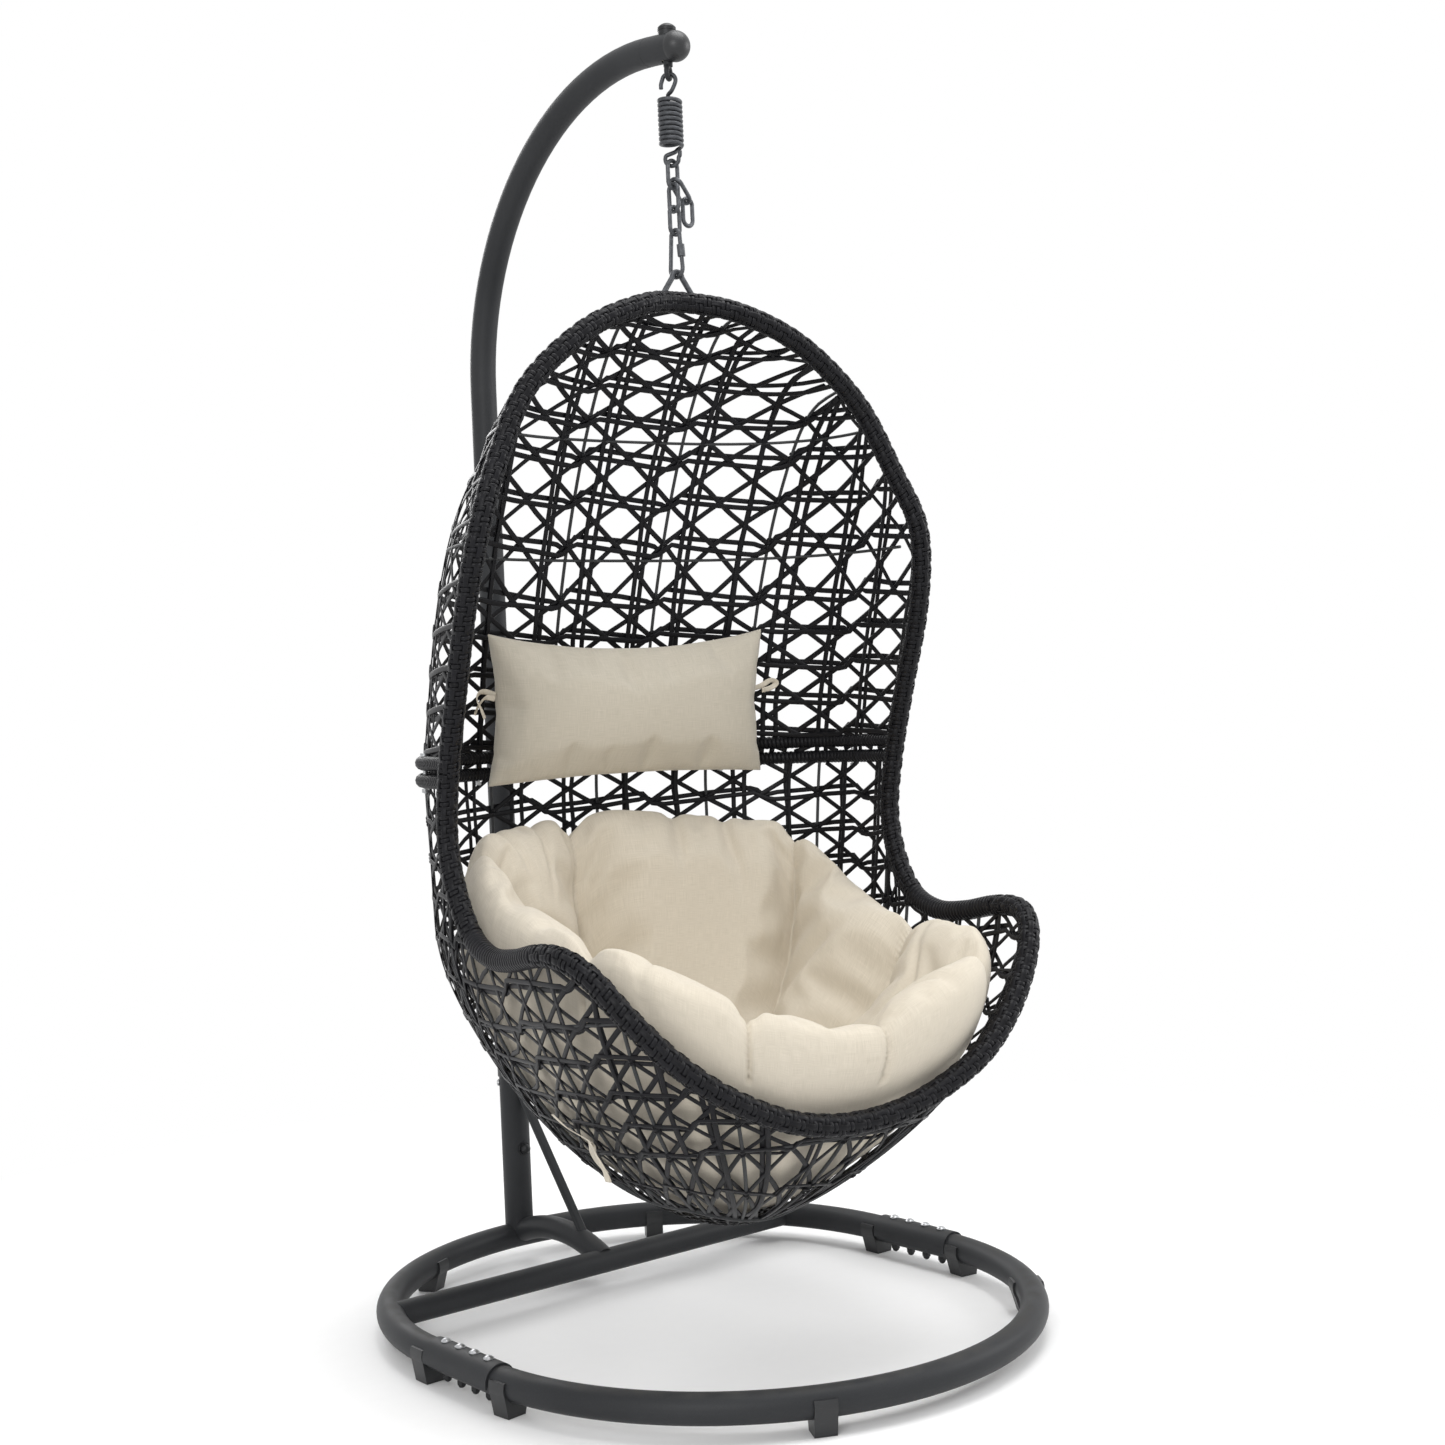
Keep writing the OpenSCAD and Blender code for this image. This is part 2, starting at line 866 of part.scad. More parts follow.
// Egg shape: half width, front reach and back reach at a height
function half_width(z) = z > wide_z ? basket_half
    : basket_half * pow(1 - pow((wide_z - z) / (wide_z - bowl_base), 1.6), 1 / 1.6);
function front_reach(z) =
    540 * pow(1 - pow(abs(deep_z - z) / (deep_z - bowl_base), 1.7), 1 / 1.7);
function back_reach(z) = z > deep_z
    ? back_depth * pow(1 - pow((z - deep_z) / (hood_top - deep_z), 1.5), 1 / 1.5)
    : back_depth * pow(1 - pow((deep_z - z) / (deep_z - bowl_base), 2.4), 1 / 2.4);
function front_bulge(z) = 2 + min(1, (z - bowl_base) / 250);
function back_bulge(z) = 2 + (hood_bulge - 2) * min(1, (z - bowl_base) / 400);
function bulge(z, front) = front ? front_bulge(z) : back_bulge(z);

// Point of the egg at a height, a turning from the front over the right side to the back
function egg(a, z) =
    let (s = sin(a), c = cos(a), m = bulge(z, c > 0),
        reach = c > 0 ? front_reach(z) : back_reach(z))
    [half_width(z) * sign(s) * pow(abs(s), 2 / m),
        bowl_y - sign(c) * reach * pow(abs(c), 2 / m), z];

function egg_angle(p) =
    let (front = p[1] < bowl_y, m = bulge(p[2], front),
        reach = front ? front_reach(p[2]) : back_reach(p[2]),
        s = pow(min(1, abs(p[0]) / half_width(p[2])), m / 2),
        c = pow(abs(p[1] - bowl_y) / reach, m / 2))
    atan2(s, front ? c : -c);

rim_steps = 3;
hood_right = curve(concat([flip(hood_points[1])], hood_points, [seat_points[1]]), rim_steps);
seat_right = curve(
    concat([hood_points[7]], seat_points, [flip(seat_points[12])]), rim_steps);
hood_path = concat(back_to_front(hood_right), [for (p = tail(hood_right)) flip(p)]);
seat_path = concat(seat_right, [for (p = tail(back_to_front(seat_right))) flip(p)]);

// Bar from rim to rim round the back, at a height above the joint
function bar_path(up, count) = [
    for (k = [0 : count])
        hood_skin(joint_height + up, [basket_half, 34, joint_height + up], k / count)
];

// Point of the hood, u going from the right rim round the back to the left rim
function hood_skin(z, rim, u) =
    let (a = 180 * u, deep = bowl_y + back_reach(z) - rim[1])
    [rim[0] * sign(cos(a)) * pow(abs(cos(a)), 2 / hood_bulge),
        rim[1] + deep * pow(sin(a), 2 / hood_bulge), z];

// The same at a distance x to the side of the middle
function hood_at(x, rim) = hood_skin(rim[2], rim, acos(pow(x / rim[0], hood_bulge / 2)) / 180);

hood_rows = 18;
hood_columns = 22;
hood_side = even_path(back_to_front(hood_right), hood_rows + 1);
hood_grid = [
    for (i = [0 : hood_rows])
        [for (j = [0 : hood_columns])
            hood_skin(hood_side[i][2], hood_side[i], j / hood_columns)]
];

function inward(p, depth) = p + depth * unit(skin_centre - p);
function flat(rows) = [for (row = rows) each row];

// Closed skin between an outer grid and the same grid moved inwards
module skin(grid, depth) {
    rows = len(grid);
    columns = len(grid[0]);
    count = rows * columns;
    outer = flat(grid);
    inner = [for (p = outer) inward(p, depth)];
    border = concat(
        [for (j = [0 : columns - 1]) j],
        [for (i = [1 : rows - 1]) i * columns + columns - 1],
        [for (j = [columns - 2 : -1 : 0]) (rows - 1) * columns + j],
        [for (i = [rows - 2 : -1 : 1]) i * columns]
    );
    faces = [
        for (i = [0 : rows - 2])
            for (j = [0 : columns - 2])
                let (a = i * columns + j, b = a + columns)
                each concat(cell(a, a + 1, b, b + 1),
                    cell(count + a, count + b, count + a + 1, count + b + 1))
    ];
    edges = [
        for (k = [0 : len(border) - 1])
            let (a = border[k], b = border[(k + 1) % len(border)])
            each cell(b, a, count + b, count + a)
    ];
    polyhedron(concat(outer, inner), concat(faces, edges));
}

module hood_rim() {
    color("#3d4043")
        in_basket()
            swept_rod(hood_path, rim_tube, 8);
}

module hood_wrap() {
    color("#222326")
        in_basket()
            swept_sleeve(hood_path, rim_tube + 0.3, wrap_tube, 8);
}

module wrapped_bar(up) {
    color("#222326")
        in_basket()
            swept_rod(bar_path(up, 22), bar_d, 8);
}

// Rib in an upright plane, from the joint up to where the rim crosses that plane
function hood_rib(x) =
    let (wide = [for (rim = hood_side) if (rim[0] > x) rim],
        over = hood_side[len(wide)],
        last = wide[len(wide) - 1])
    concat([for (rim = wide) inward(hood_at(x, rim), weave_skin / 2)],
        [mix(last, over, (last[0] - x) / (last[0] - over[0]))]);

module hood_ribs() {
    color("#3d4043")
        in_basket()
            for (x = hood_rib_x)
                for (side = [0, 1])
                    mirror([side, 0, 0])
                        swept_rod(hood_rib(x), rib_d, 6);
}

// Point of the hood's side rim at a height
function rim_at(z) =
    let (i = max([for (k = [0 : hood_rows]) hood_side[k][2] <= z ? k : 0]),
        a = hood_side[i], b = hood_side[i + 1])
    mix(a, b, (z - a[2]) / (b[2] - a[2]));

module hood_hoops() {
    color("#3d4043")
        in_basket()
            for (z = hood_hoop_z)
                swept_rod([for (j = [0 : hood_columns])
                    inward(hood_skin(z, rim_at(z), j / hood_columns), weave_skin / 2)],
                    rib_d, 6);
}

module hood_weave() {
    color("#26272a")
        in_basket()
            skin(hood_grid, weave_skin);
}

// Seat: columns run from the bottom hoop up to the rim or to the bar
seat_columns = 24;
seat_rows = 11;
seat_low_z = bowl_base + 4;
seat_flare = 1.7;
bottom_hoop_v = 0.28;
high_hoop_start = 7;
half_edge = even_path(
    concat(back_to_front(seat_right),
        tail([for (k = [0 : 12]) hood_skin(joint_height - bar_drop,
            [basket_half, 34, joint_height - bar_drop], k / 24)])),
    seat_columns);
seat_edge = concat(half_edge,
    [for (k = [seat_columns - 1 : -1 : 1]) flip(half_edge[k])]);
seat_count = len(seat_edge);

function seat_skin(k, v) =
    let (
        edge = seat_edge[k],
        right = k <= seat_columns,
        low_a = 180 * (right ? k : seat_count - k) / seat_columns,
        high_a = egg_angle(edge),
        z = mix(seat_low_z, edge[2], pow(v, seat_flare)),
        p = egg(mix(low_a, high_a, v), z),
        miss = [abs(edge[0]), edge[1], edge[2]] - egg(high_a, edge[2]),
        q = p + miss * pow(v, 3)
    )
    right ? q : flip(q);

module seat_weave() {
    count = (seat_rows + 1) * seat_count;
    outer = [for (i = [0 : seat_rows]) for (k = [0 : seat_count - 1])
        seat_skin(k, i / seat_rows)];
    inner = [for (p = outer) inward(p, weave_skin)];
    middle = [0, bowl_y, seat_low_z];
    top = seat_rows * seat_count;
    low = 2 * count;
    faces = concat(
        wall_faces(seat_rows + 1, seat_count, 0, false, false),
        wall_faces(seat_rows + 1, seat_count, count, false, true),
        [for (k = [0 : seat_count - 1])
            let (k_next = (k + 1) % seat_count)
            each concat(
                [[low, k, k_next], [low + 1, count + k_next, count + k]],
                cell(top + k, top + k_next, count + top + k, count + top + k_next))]
    );
    color("#26272a")
        in_basket()
            polyhedron(concat(outer, inner, [middle, middle + [0, 0, weave_skin]]), faces);
}

module seat_rim() {
    color("#3d4043")
        in_basket()
            swept_rod(seat_path, rim_tube, 8);
}

module seat_wrap() {
    color("#222326")
        in_basket()
            swept_sleeve(seat_path, rim_tube + 0.3, wrap_tube, 8);
}

// Middle of the seat's skin in a column, at a share of its height or at a height
function seat_middle(k, v) = inward(seat_skin(k, v), weave_skin / 2);
function seat_level(k, z) =
    seat_middle(k, pow((z - seat_low_z) / (seat_edge[k][2] - seat_low_z), 1 / seat_flare));

// Height of a hoop in a column, from its side height to its front height
function hoop_height(k, heights) =
    mix(heights[0], heights[1], max(0, cos(360 * k / seat_count)));

module seat_ribs() {
    steps = 8;
    color("#3d4043")
        in_basket()
            for (k = [0 : 6 : seat_count - 1])
                swept_rod([for (i = [0 : steps])
                    seat_middle(k, mix(bottom_hoop_v, 1, i / steps))], rib_d, 6);
}

module seat_hoops() {
    color("#3d4043")
        in_basket() {
            swept_rod([for (k = [0 : seat_count - 1])
                seat_level(k, hoop_height(k, low_hoop_z))], rib_d, 6, true);
            swept_rod([for (k = [high_hoop_start : seat_count - high_hoop_start])
                seat_level(k, hoop_height(k, high_hoop_z))], rib_d, 6);
        }
}

module bottom_hoop() {
    color("#3d4043")
        in_basket()
            swept_rod([for (k = [0 : seat_count - 1])
                seat_middle(k, bottom_hoop_v)], 9, 6, true);
}

basket_bolt_spots = [2, 9, 17, 24];
bolt_spot_count = 26;

module at_bar_bolts() {
    in_basket()
        for (k = basket_bolt_spots)
            let (p = bar_path(0, bolt_spot_count)[k])
            translate([p[0], p[1], joint_height])
                children();
}

module basket_bolts() {
    reach = bar_drop + bar_d / 2;
    color("silver")
        at_bar_bolts() {
            translate([0, 0, -reach - 7])
                cylinder(h = 2 * reach + 7, d = 6);
            translate([0, 0, reach])
                cylinder(h = 4, d = 12);
        }
}

module basket_nuts() {
    reach = bar_drop + bar_d / 2;
    color("silver")
        at_bar_bolts()
            translate([0, 0, -reach - 6])
                difference() {
                    cylinder(h = 5.5, d = 12, $fn = 6);
                    translate([0, 0, -1])
                        cylinder(h = 8, d = 6.16);
                }
}

// Bent rod welded to the top of the hood's rim
module hanging_loop() {
    bend = 8;
    foot = [25, hood_points[0][2] + rim_tube / 2 - 1];
    top = loop_z - bend;
    run = [foot[0] - bend, top - foot[1]];
    lean = atan2(run[0], run[1]);
    color("#6a6d71")
        in_basket() {
            translate([0, 0, top])
                rotate([90, 0, 0])
                    rotate_extrude(angle = 180)
                        translate([bend, 0])
                            circle(d = loop_wire);
            for (side = [0, 1])
                mirror([side, 0, 0])
                    translate([bend, 0, top]) {
                        sphere(d = loop_wire);
                        rotate([0, 180 - lean, 0])
                            cylinder(h = norm(run), d = loop_wire);
                    }
        }
}

// ---------- Cushions ----------

pad_bands = 18;
pad_columns = 64;
pad_gap = 11;
pad_shell = pad_gap + weave_skin;
// Height of the seat cushion's edge, by the angle from its front
pad_edge_heights = [[0, 440], [30, 505], [60, 575], [85, 600], [105, 675], [125, 725], [180, 748]];

function pad_edge(a) = lookup(a > 180 ? 360 - a : a, pad_edge_heights);
function pad_skin(a, r, depth) =
    inward(egg(a, mix(bowl_base, pad_edge(a), pow(r, 1.5))), pad_shell + depth);
function pad_swell(r) = sqrt(max(0, 1 - pow(r, 5)));
function pad_lobe(a, r) =
    1 - 0.5 * pow(abs(cos(a * cushion_lobes / 2)), 6) * min(1, 1.4 * r);
function pad_fill(r) = cushion_thick / 2 * mix(0.6, 1.08, min(1, 2.5 * r));

// Point of the cushion, t going from the middle of its base round the edge to the middle of its top
function pad_point(a, t) =
    let (r = 1 - pow(abs(t), 1.6), fill = pad_fill(r), swell = pad_swell(r))
    pad_skin(a, r, t < 0 ? fill * (1 - swell) : fill * (1 + swell * pad_lobe(a, r)));

module seat_cushion() {
    rows = pad_bands + 1;
    points = concat(
        [for (i = [1 : rows]) for (k = [0 : pad_columns - 1])
            pad_point(k * 360 / pad_columns, 2 * i / (rows + 1) - 1)],
        [pad_point(0, -1), pad_point(0, 1)]
    );
    last = (rows - 1) * pad_columns;
    ends = [for (k = [0 : pad_columns - 1])
        let (k_next = (k + 1) % pad_columns)
        each [[rows * pad_columns, k, k_next],
            [rows * pad_columns + 1, last + k_next, last + k]]];
    color("#d2c6b0")
        in_basket()
            polyhedron(points, concat(wall_faces(rows, pad_columns, 0, false, false), ends));
}

pillow_grid = 14;
pillow_centre = [14, 234, 942];
pillow_lean = 5;
pillow_sag = 0.2;
pillow_draw = 0.05;
pillow_tie_x = 300;
tie_angle = 80;
tie_z = [350, 272];
tie_proud = 1.5;

// Outline drawn in between the corners, and swelling from the seams to the middle
function pillow_point(u, v, face) =
    let (
        x = u * pillow_width / 2 * (1 - pillow_draw * (1 - v * v)),
        z = v * pillow_height / 2 * (1 - (v > 0 ? pillow_sag : pillow_draw) * (1 - u * u)),
        swell = pow(max(0, (1 - u * u) * (1 - v * v)), 0.42)
    )
    [x, face * swell * pillow_thick / 2, z];

module head_pillow() {
    n = pillow_grid;
    across = n + 1;
    count = across * across;
    front = [for (i = [0 : n]) for (j = [0 : n])
        pillow_point(2 * j / n - 1, 2 * i / n - 1, -1)];
    inside = [for (i = [1 : n - 1]) for (j = [1 : n - 1])
        pillow_point(2 * j / n - 1, 2 * i / n - 1, 1)];
    function spot(i, j) = (i == 0 || i == n || j == 0 || j == n)
        ? i * across + j : count + (i - 1) * (n - 1) + j - 1;
    faces = [for (i = [0 : n - 1]) for (j = [0 : n - 1])
        let (a = i * across + j, b = a + across, other = (i < n / 2) != (j < n / 2))
        each concat(other ? cell(a + 1, b + 1, a, b) : cell(a, a + 1, b, b + 1),
            other ? cell(spot(i, j + 1), spot(i, j), spot(i + 1, j + 1), spot(i + 1, j))
                : cell(spot(i, j), spot(i + 1, j), spot(i, j + 1), spot(i + 1, j + 1)))];
    color("#cdc1aa")
        in_basket()
            translate(pillow_centre)
                rotate([pillow_lean, 0, 0])
                    polyhedron(concat(front, inside), faces);
}

module strap(from, to, width = 12) {
    run = to - from;
    flat_run = norm([run[0], run[1]]);
    translate(from)
        rotate([0, 0, atan2(run[1], run[0])])
            rotate([0, atan2(flat_run, run[2]), 0])
                translate([-1, -width / 2, 0])
                    cube([2, width, norm(run)]);
}

// Tie on the outside of the skin, down the side of the bowl
module cushion_ties() {
    top = inward(egg(tie_angle, tie_z[0]), -tie_proud);
    low = inward(egg(tie_angle, tie_z[1]), -tie_proud);
    color("#d8ccb6")
        in_basket()
            for (side = [0, 1])
                mirror([side, 0, 0])
                    strap(low, top);
}

// Tie from each end of the pillow back to the skin
module pillow_ties() {
    color("#d8ccb6")
        in_basket()
            for (side = [-1, 1]) {
                z = pillow_centre[2] + 20;
                from = pillow_centre + [side * (pillow_width / 2 - 12), 2, 20];
                place = hood_at(pillow_tie_x, rim_at(z));
                to = inward([side * place[0], place[1], z], weave_skin - 1);
                strap(from, to, 10);
            }
}

base_ring_front();
base_ring_rear();
splice_sleeve(-ring_half);  // splice_sleeve_left
splice_sleeve(ring_half);  // splice_sleeve_right
splice_bolts();
splice_nuts();
clip_feet();
crossbar();
spine_tube();
post_socket();
post_brace();
post_collar();
post_screw();
post_bolt();
post_bolt_washer();
pole();
pole_end_cap();
swivel_bush();
saddle_washer();
eye_bolt();
dome_nut();
spring();
hung_link(link_1_z, chain_turn);  // chain_link_1
hung_link(link_2_z, chain_turn + 90);  // chain_link_2
hung_link(link_3_z, chain_turn);  // chain_link_3
spare_link_1();
spare_link_2();
quick_link();
quick_link_nut();
hanging_loop();
hood_rim();
hood_wrap();
wrapped_bar(bar_drop);  // hood_bar
hood_ribs();
hood_hoops();
hood_weave();
seat_rim();
seat_wrap();
wrapped_bar(-bar_drop);  // seat_bar
seat_ribs();
seat_hoops();
bottom_hoop();
seat_weave();
basket_bolts();
basket_nuts();
seat_cushion();
head_pillow();
cushion_ties();
pillow_ties();
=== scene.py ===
# %% [markdown]
# # A hanging egg chair
# A basket of flat black cane hangs by a spring and a short chain from a bent
# pole, which stands on a ring of steel tube. The steel parts come in as exact
# solids. This lesson gives them their finishes, and makes the soft and the
# woven pieces: the open weave, the wound rims and the two cushions.

# %% Load the solids
import json
import math

import bpy
import numpy as np
from mathutils import Matrix, Vector


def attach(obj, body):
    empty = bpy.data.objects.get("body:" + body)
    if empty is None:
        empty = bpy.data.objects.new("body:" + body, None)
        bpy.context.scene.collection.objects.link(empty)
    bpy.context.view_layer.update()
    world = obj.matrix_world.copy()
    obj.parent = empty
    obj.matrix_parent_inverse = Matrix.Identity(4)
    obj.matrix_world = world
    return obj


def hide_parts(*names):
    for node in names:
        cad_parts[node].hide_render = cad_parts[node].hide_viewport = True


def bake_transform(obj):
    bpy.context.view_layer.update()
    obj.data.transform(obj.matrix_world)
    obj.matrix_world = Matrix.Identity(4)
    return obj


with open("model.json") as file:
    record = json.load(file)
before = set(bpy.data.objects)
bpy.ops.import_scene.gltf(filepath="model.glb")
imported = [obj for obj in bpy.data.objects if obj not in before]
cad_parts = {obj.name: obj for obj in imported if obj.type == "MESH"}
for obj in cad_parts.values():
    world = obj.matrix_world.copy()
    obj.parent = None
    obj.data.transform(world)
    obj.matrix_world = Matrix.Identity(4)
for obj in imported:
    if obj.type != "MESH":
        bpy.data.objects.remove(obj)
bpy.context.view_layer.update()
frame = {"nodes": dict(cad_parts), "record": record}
nodes = frame["nodes"]

# %% [markdown]
# ## Camera
# The chair is seen from its left front, at about the height of the seat. The
# lens is a normal one at three metres, so that the ring in front
# looks larger than the pole behind. It is made first, because the places of
# all other things are judged through it.

# %% Camera
lens = bpy.data.cameras.new("camera")
lens.sensor_width = 36
lens.lens = 49.2
lens.dof.use_dof = False
camera = bpy.data.objects.new("camera", lens)
turn = Matrix.Rotation(math.radians(-39.58), 4, "Z")
pitch = Matrix.Rotation(math.radians(90 - 0.44), 4, "X")
roll = Matrix.Rotation(math.radians(-2.42), 4, "Z")
camera.matrix_world = Matrix.Translation((-1.866, -2.353, 0.932)) @ turn @ pitch @ roll
bpy.context.scene.collection.objects.link(camera)
bpy.context.scene.camera = camera
print("camera at", tuple(camera.location))

# %% [markdown]
# ## Writing shader maths as plain sums
# Every finish below is a small sum: a colour, plus a little noise, times a
# mask. Blender wants a node for each step of such a sum. A small class that
# holds one output of a node, and that adds the node for +, -, * or / itself,
# lets the finish be read as a formula.


# %% One value in a finish
class Value:
    def __init__(self, finish, socket):
        self.finish = finish
        self.socket = socket

    def maths(self, operation, first, second=None):
        inputs = {0: first} if second is None else {0: first, 1: second}
        return self.finish.add("ShaderNodeMath", {"operation": operation}, inputs)

    def __add__(self, other):
        return self.maths("ADD", self, other)

    def __radd__(self, other):
        return self.maths("ADD", other, self)

    def __sub__(self, other):
        return self.maths("SUBTRACT", self, other)

    def __rsub__(self, other):
        return self.maths("SUBTRACT", other, self)

    def __mul__(self, other):
        return self.maths("MULTIPLY", self, other)

    def __rmul__(self, other):
        return self.maths("MULTIPLY", other, self)

    def sine(self):
        return self.maths("SINE", self)

    def most(self, other):
        return self.maths("MAXIMUM", self, other)

    def clipped(self, low, high):
        """0 below low, 1 above high, and even steps between."""
        inputs = {"Value": self, "From Min": low, "From Max": high}
        return self.finish.add("ShaderNodeMapRange", {"clamp": True}, inputs)


# %% A finish and its one way to add a node
class Finish:
    """The nodes of a material, or of the world when one is given."""

    def __init__(self, name, world=None):
        self.material = world or bpy.data.materials.new(name)
        self.material.use_nodes = True
        self.tree = self.material.node_tree
        self.tree.nodes.clear()

    def add(self, kind, settings=None, inputs=None, output=0):
        node = self.tree.nodes.new(kind)
        for name, value in (settings or {}).items():
            setattr(node, name, value)
        for name, value in (inputs or {}).items():
            if isinstance(value, Value):
                self.tree.links.new(value.socket, node.inputs[name])
            else:
                node.inputs[name].default_value = value
        return Value(self, node.outputs[output]) if len(node.outputs) else node

    def place(self, scale=(1, 1, 1)):
        """Where a point lies on the piece, in metres, times scale."""
        at = self.add("ShaderNodeTexCoord", output=3)
        return self.add("ShaderNodeMapping", {"vector_type": "POINT"}, {0: at, 3: scale})

    def laid(self, scale=(1, 1, 1)):
        """Where a point lies along and across a laid-out piece, times scale."""
        at = self.add("ShaderNodeUVMap", {"uv_map": "Laid"})
        return self.add("ShaderNodeMapping", {"vector_type": "POINT"}, {0: at, 3: scale})

    def noise(self, at, scale, detail=2.0, roughness=0.5):
        return self.add("ShaderNodeTexNoise", {"noise_dimensions": "3D"},
            {"Vector": at, "Scale": scale, "Detail": detail, "Roughness": roughness})

    def blend(self, factor, first, second):
        """First colour where factor is 0, second where it is 1."""
        return self.add("ShaderNodeMix", {"data_type": "RGBA"},
            {0: factor, 6: first, 7: second}, output=2)

    def bump(self, height, strength, distance):
        return self.add("ShaderNodeBump",
            inputs={"Height": height, "Strength": strength, "Distance": distance})

    def shade(self, **sockets):
        """Ends the finish with the surface shader. Names are given with _ for a space."""
        inputs = {name.replace("_", " "): value for name, value in sockets.items()}
        surface = self.add("ShaderNodeBsdfPrincipled", inputs=inputs)
        self.add("ShaderNodeOutputMaterial", inputs={"Surface": surface})
        return self.material


def paint(red, green, blue):
    """A colour as it is written on a screen, 0 to 255, turned into light."""
    steps = [value / 255 for value in (red, green, blue)]
    return [s / 12.92 if s < 0.04045 else ((s + 0.055) / 1.055) ** 2.4 for s in steps] + [1]


# %% [markdown]
# ## Powder coat
# The pole, the ring and the other tubes are sprayed with a fine textured
# powder that is baked on. It is a dark grey with a soft gloss. Up close it
# has a skin like an orange, and on the low ring a little dust lies on top.
# Noise at three sizes does it: broad for uneven colour, fine for the skin,
# and one for dust that only shows where the surface faces up.

# %% Powder coat
def powder_coat():
    coat = Finish("powder coat")
    broad = coat.noise(coat.place(), 7, 3)
    skin = coat.noise(coat.place(), 620, 2)
    grain = coat.noise(coat.place(), 1900, 1)
    facing = coat.add("ShaderNodeNewGeometry", output=1)
    up = coat.add("ShaderNodeSeparateXYZ", inputs={0: facing}, output=2)
    low = 1 - coat.add("ShaderNodeSeparateXYZ", inputs={0: coat.place()}, output=2).clipped(0.05, 0.3)
    dust = up.clipped(0.75, 1.0) * low * coat.noise(coat.place(), 26, 4).clipped(0.42, 0.75)
    colour = coat.blend(broad.clipped(0.3, 0.7), paint(40, 41, 43), paint(48, 49, 51))
    colour = coat.blend(grain.clipped(0.45, 0.8) * 0.35, colour, paint(72, 74, 76))
    colour = coat.blend(dust * 0.16, colour, paint(128, 124, 116))
    rough = 0.43 + 0.1 * broad + 0.25 * dust
    bumps = coat.bump(skin + 0.4 * grain, 0.22, 0.0004)
    return coat.shade(Base_Color=colour, Roughness=rough, Normal=bumps, Specular_IOR_Level=0.17)


# %% [markdown]
# ## Black plastic
# The clip feet, the pole's end cap and the collar are moulded. Moulded
# plastic is smoother than the powder coat and slightly blotchy, where it
# cooled at different speeds, with scuffs near the floor.

# %% Black plastic
def black_plastic():
    plastic = Finish("black plastic")
    blotch = plastic.noise(plastic.place(), 60, 3)
    fine = plastic.noise(plastic.place(), 1500, 2)
    scuff = plastic.noise(plastic.place((1, 1, 6)), 90, 5, 0.7).clipped(0.6, 0.75)
    colour = plastic.blend(blotch, paint(24, 25, 27), paint(37, 38, 40))
    colour = plastic.blend(scuff * 0.3, colour, paint(84, 84, 84))
    rough = 0.36 + 0.14 * blotch + 0.2 * scuff
    return plastic.shade(Base_Color=colour, Roughness=rough,
        Normal=plastic.bump(fine, 0.12, 0.0003))


# %% [markdown]
# ## Plated and blackened metal
# The bolts of the ring are bright zinc, the chain and its links a darker
# zinc with rubbed places, the spring is dark and a little oily, and the nuts
# are blackened. One recipe serves them all: a metal whose tone and gloss
# wander, with scratches that run round the piece. It is told its tones, how
# metallic it is and how rough.

# %% Metals
def metal(name, dark, light, rough, metallic, scratch=0.12):
    steel = Finish(name)
    cloud = steel.noise(steel.place(), 160, 4, 0.6)
    speck = steel.noise(steel.place(), 1300, 2)
    rubbed = steel.noise(steel.place((1, 1, 12)), 420, 3, 0.6)
    tone = steel.blend(cloud.clipped(0.3, 0.7), dark, light)
    tone = steel.blend(speck.clipped(0.62, 0.8) * 0.4, tone, dark)
    rough = rough - 0.08 + 0.2 * cloud
    bumps = steel.bump(rubbed + 0.5 * speck, scratch, 0.0003)
    return steel.shade(Base_Color=tone, Roughness=rough, Metallic=metallic, Normal=bumps)


def nylon():
    bush = Finish("nylon")
    milky = bush.noise(bush.place(), 90, 3)
    colour = bush.blend(milky, paint(214, 210, 196), paint(228, 225, 214))
    return bush.shade(Base_Color=colour, Roughness=0.3 + 0.15 * milky,
        Normal=bush.bump(bush.noise(bush.place(), 900), 0.08, 0.0003))


# %% [markdown]
# ## Cane
# The basket is woven from flat plastic cane: a strip about 8 mm wide with a
# crowned face and fine lines pressed along it. It is nearly black, with
# streaks of warm grey along the strips that are partly rubbed wear and partly
# painted highlight. The strips carry their own length as a map, so the lines
# run along them however they turn.

# %% Cane
def cane():
    strip = Finish("cane")
    lines = strip.noise(strip.laid((9, 1600, 1)), 1, 2, 0.6)
    runs = strip.noise(strip.laid((16, 60, 1)), 1, 3)
    # Warm grey streaks along the strips: partly rubbed wear, partly painted highlight.
    rubbed = strip.noise(strip.laid((55, 900, 1)), 1, 3, 0.65).clipped(0.56, 0.78)
    colour = strip.blend(runs.clipped(0.3, 0.7), paint(13, 13, 16), paint(24, 24, 28))
    # Paints those streaks into the colour, as wear and as painted highlight together.
    colour = strip.blend(rubbed * 0.3, colour, paint(66, 64, 62))
    rough = 0.3 + 0.2 * lines + 0.1 * rubbed
    return strip.shade(Base_Color=colour, Roughness=rough,
        Normal=strip.bump(lines, 0.35, 0.0005), Specular_IOR_Level=0.17)
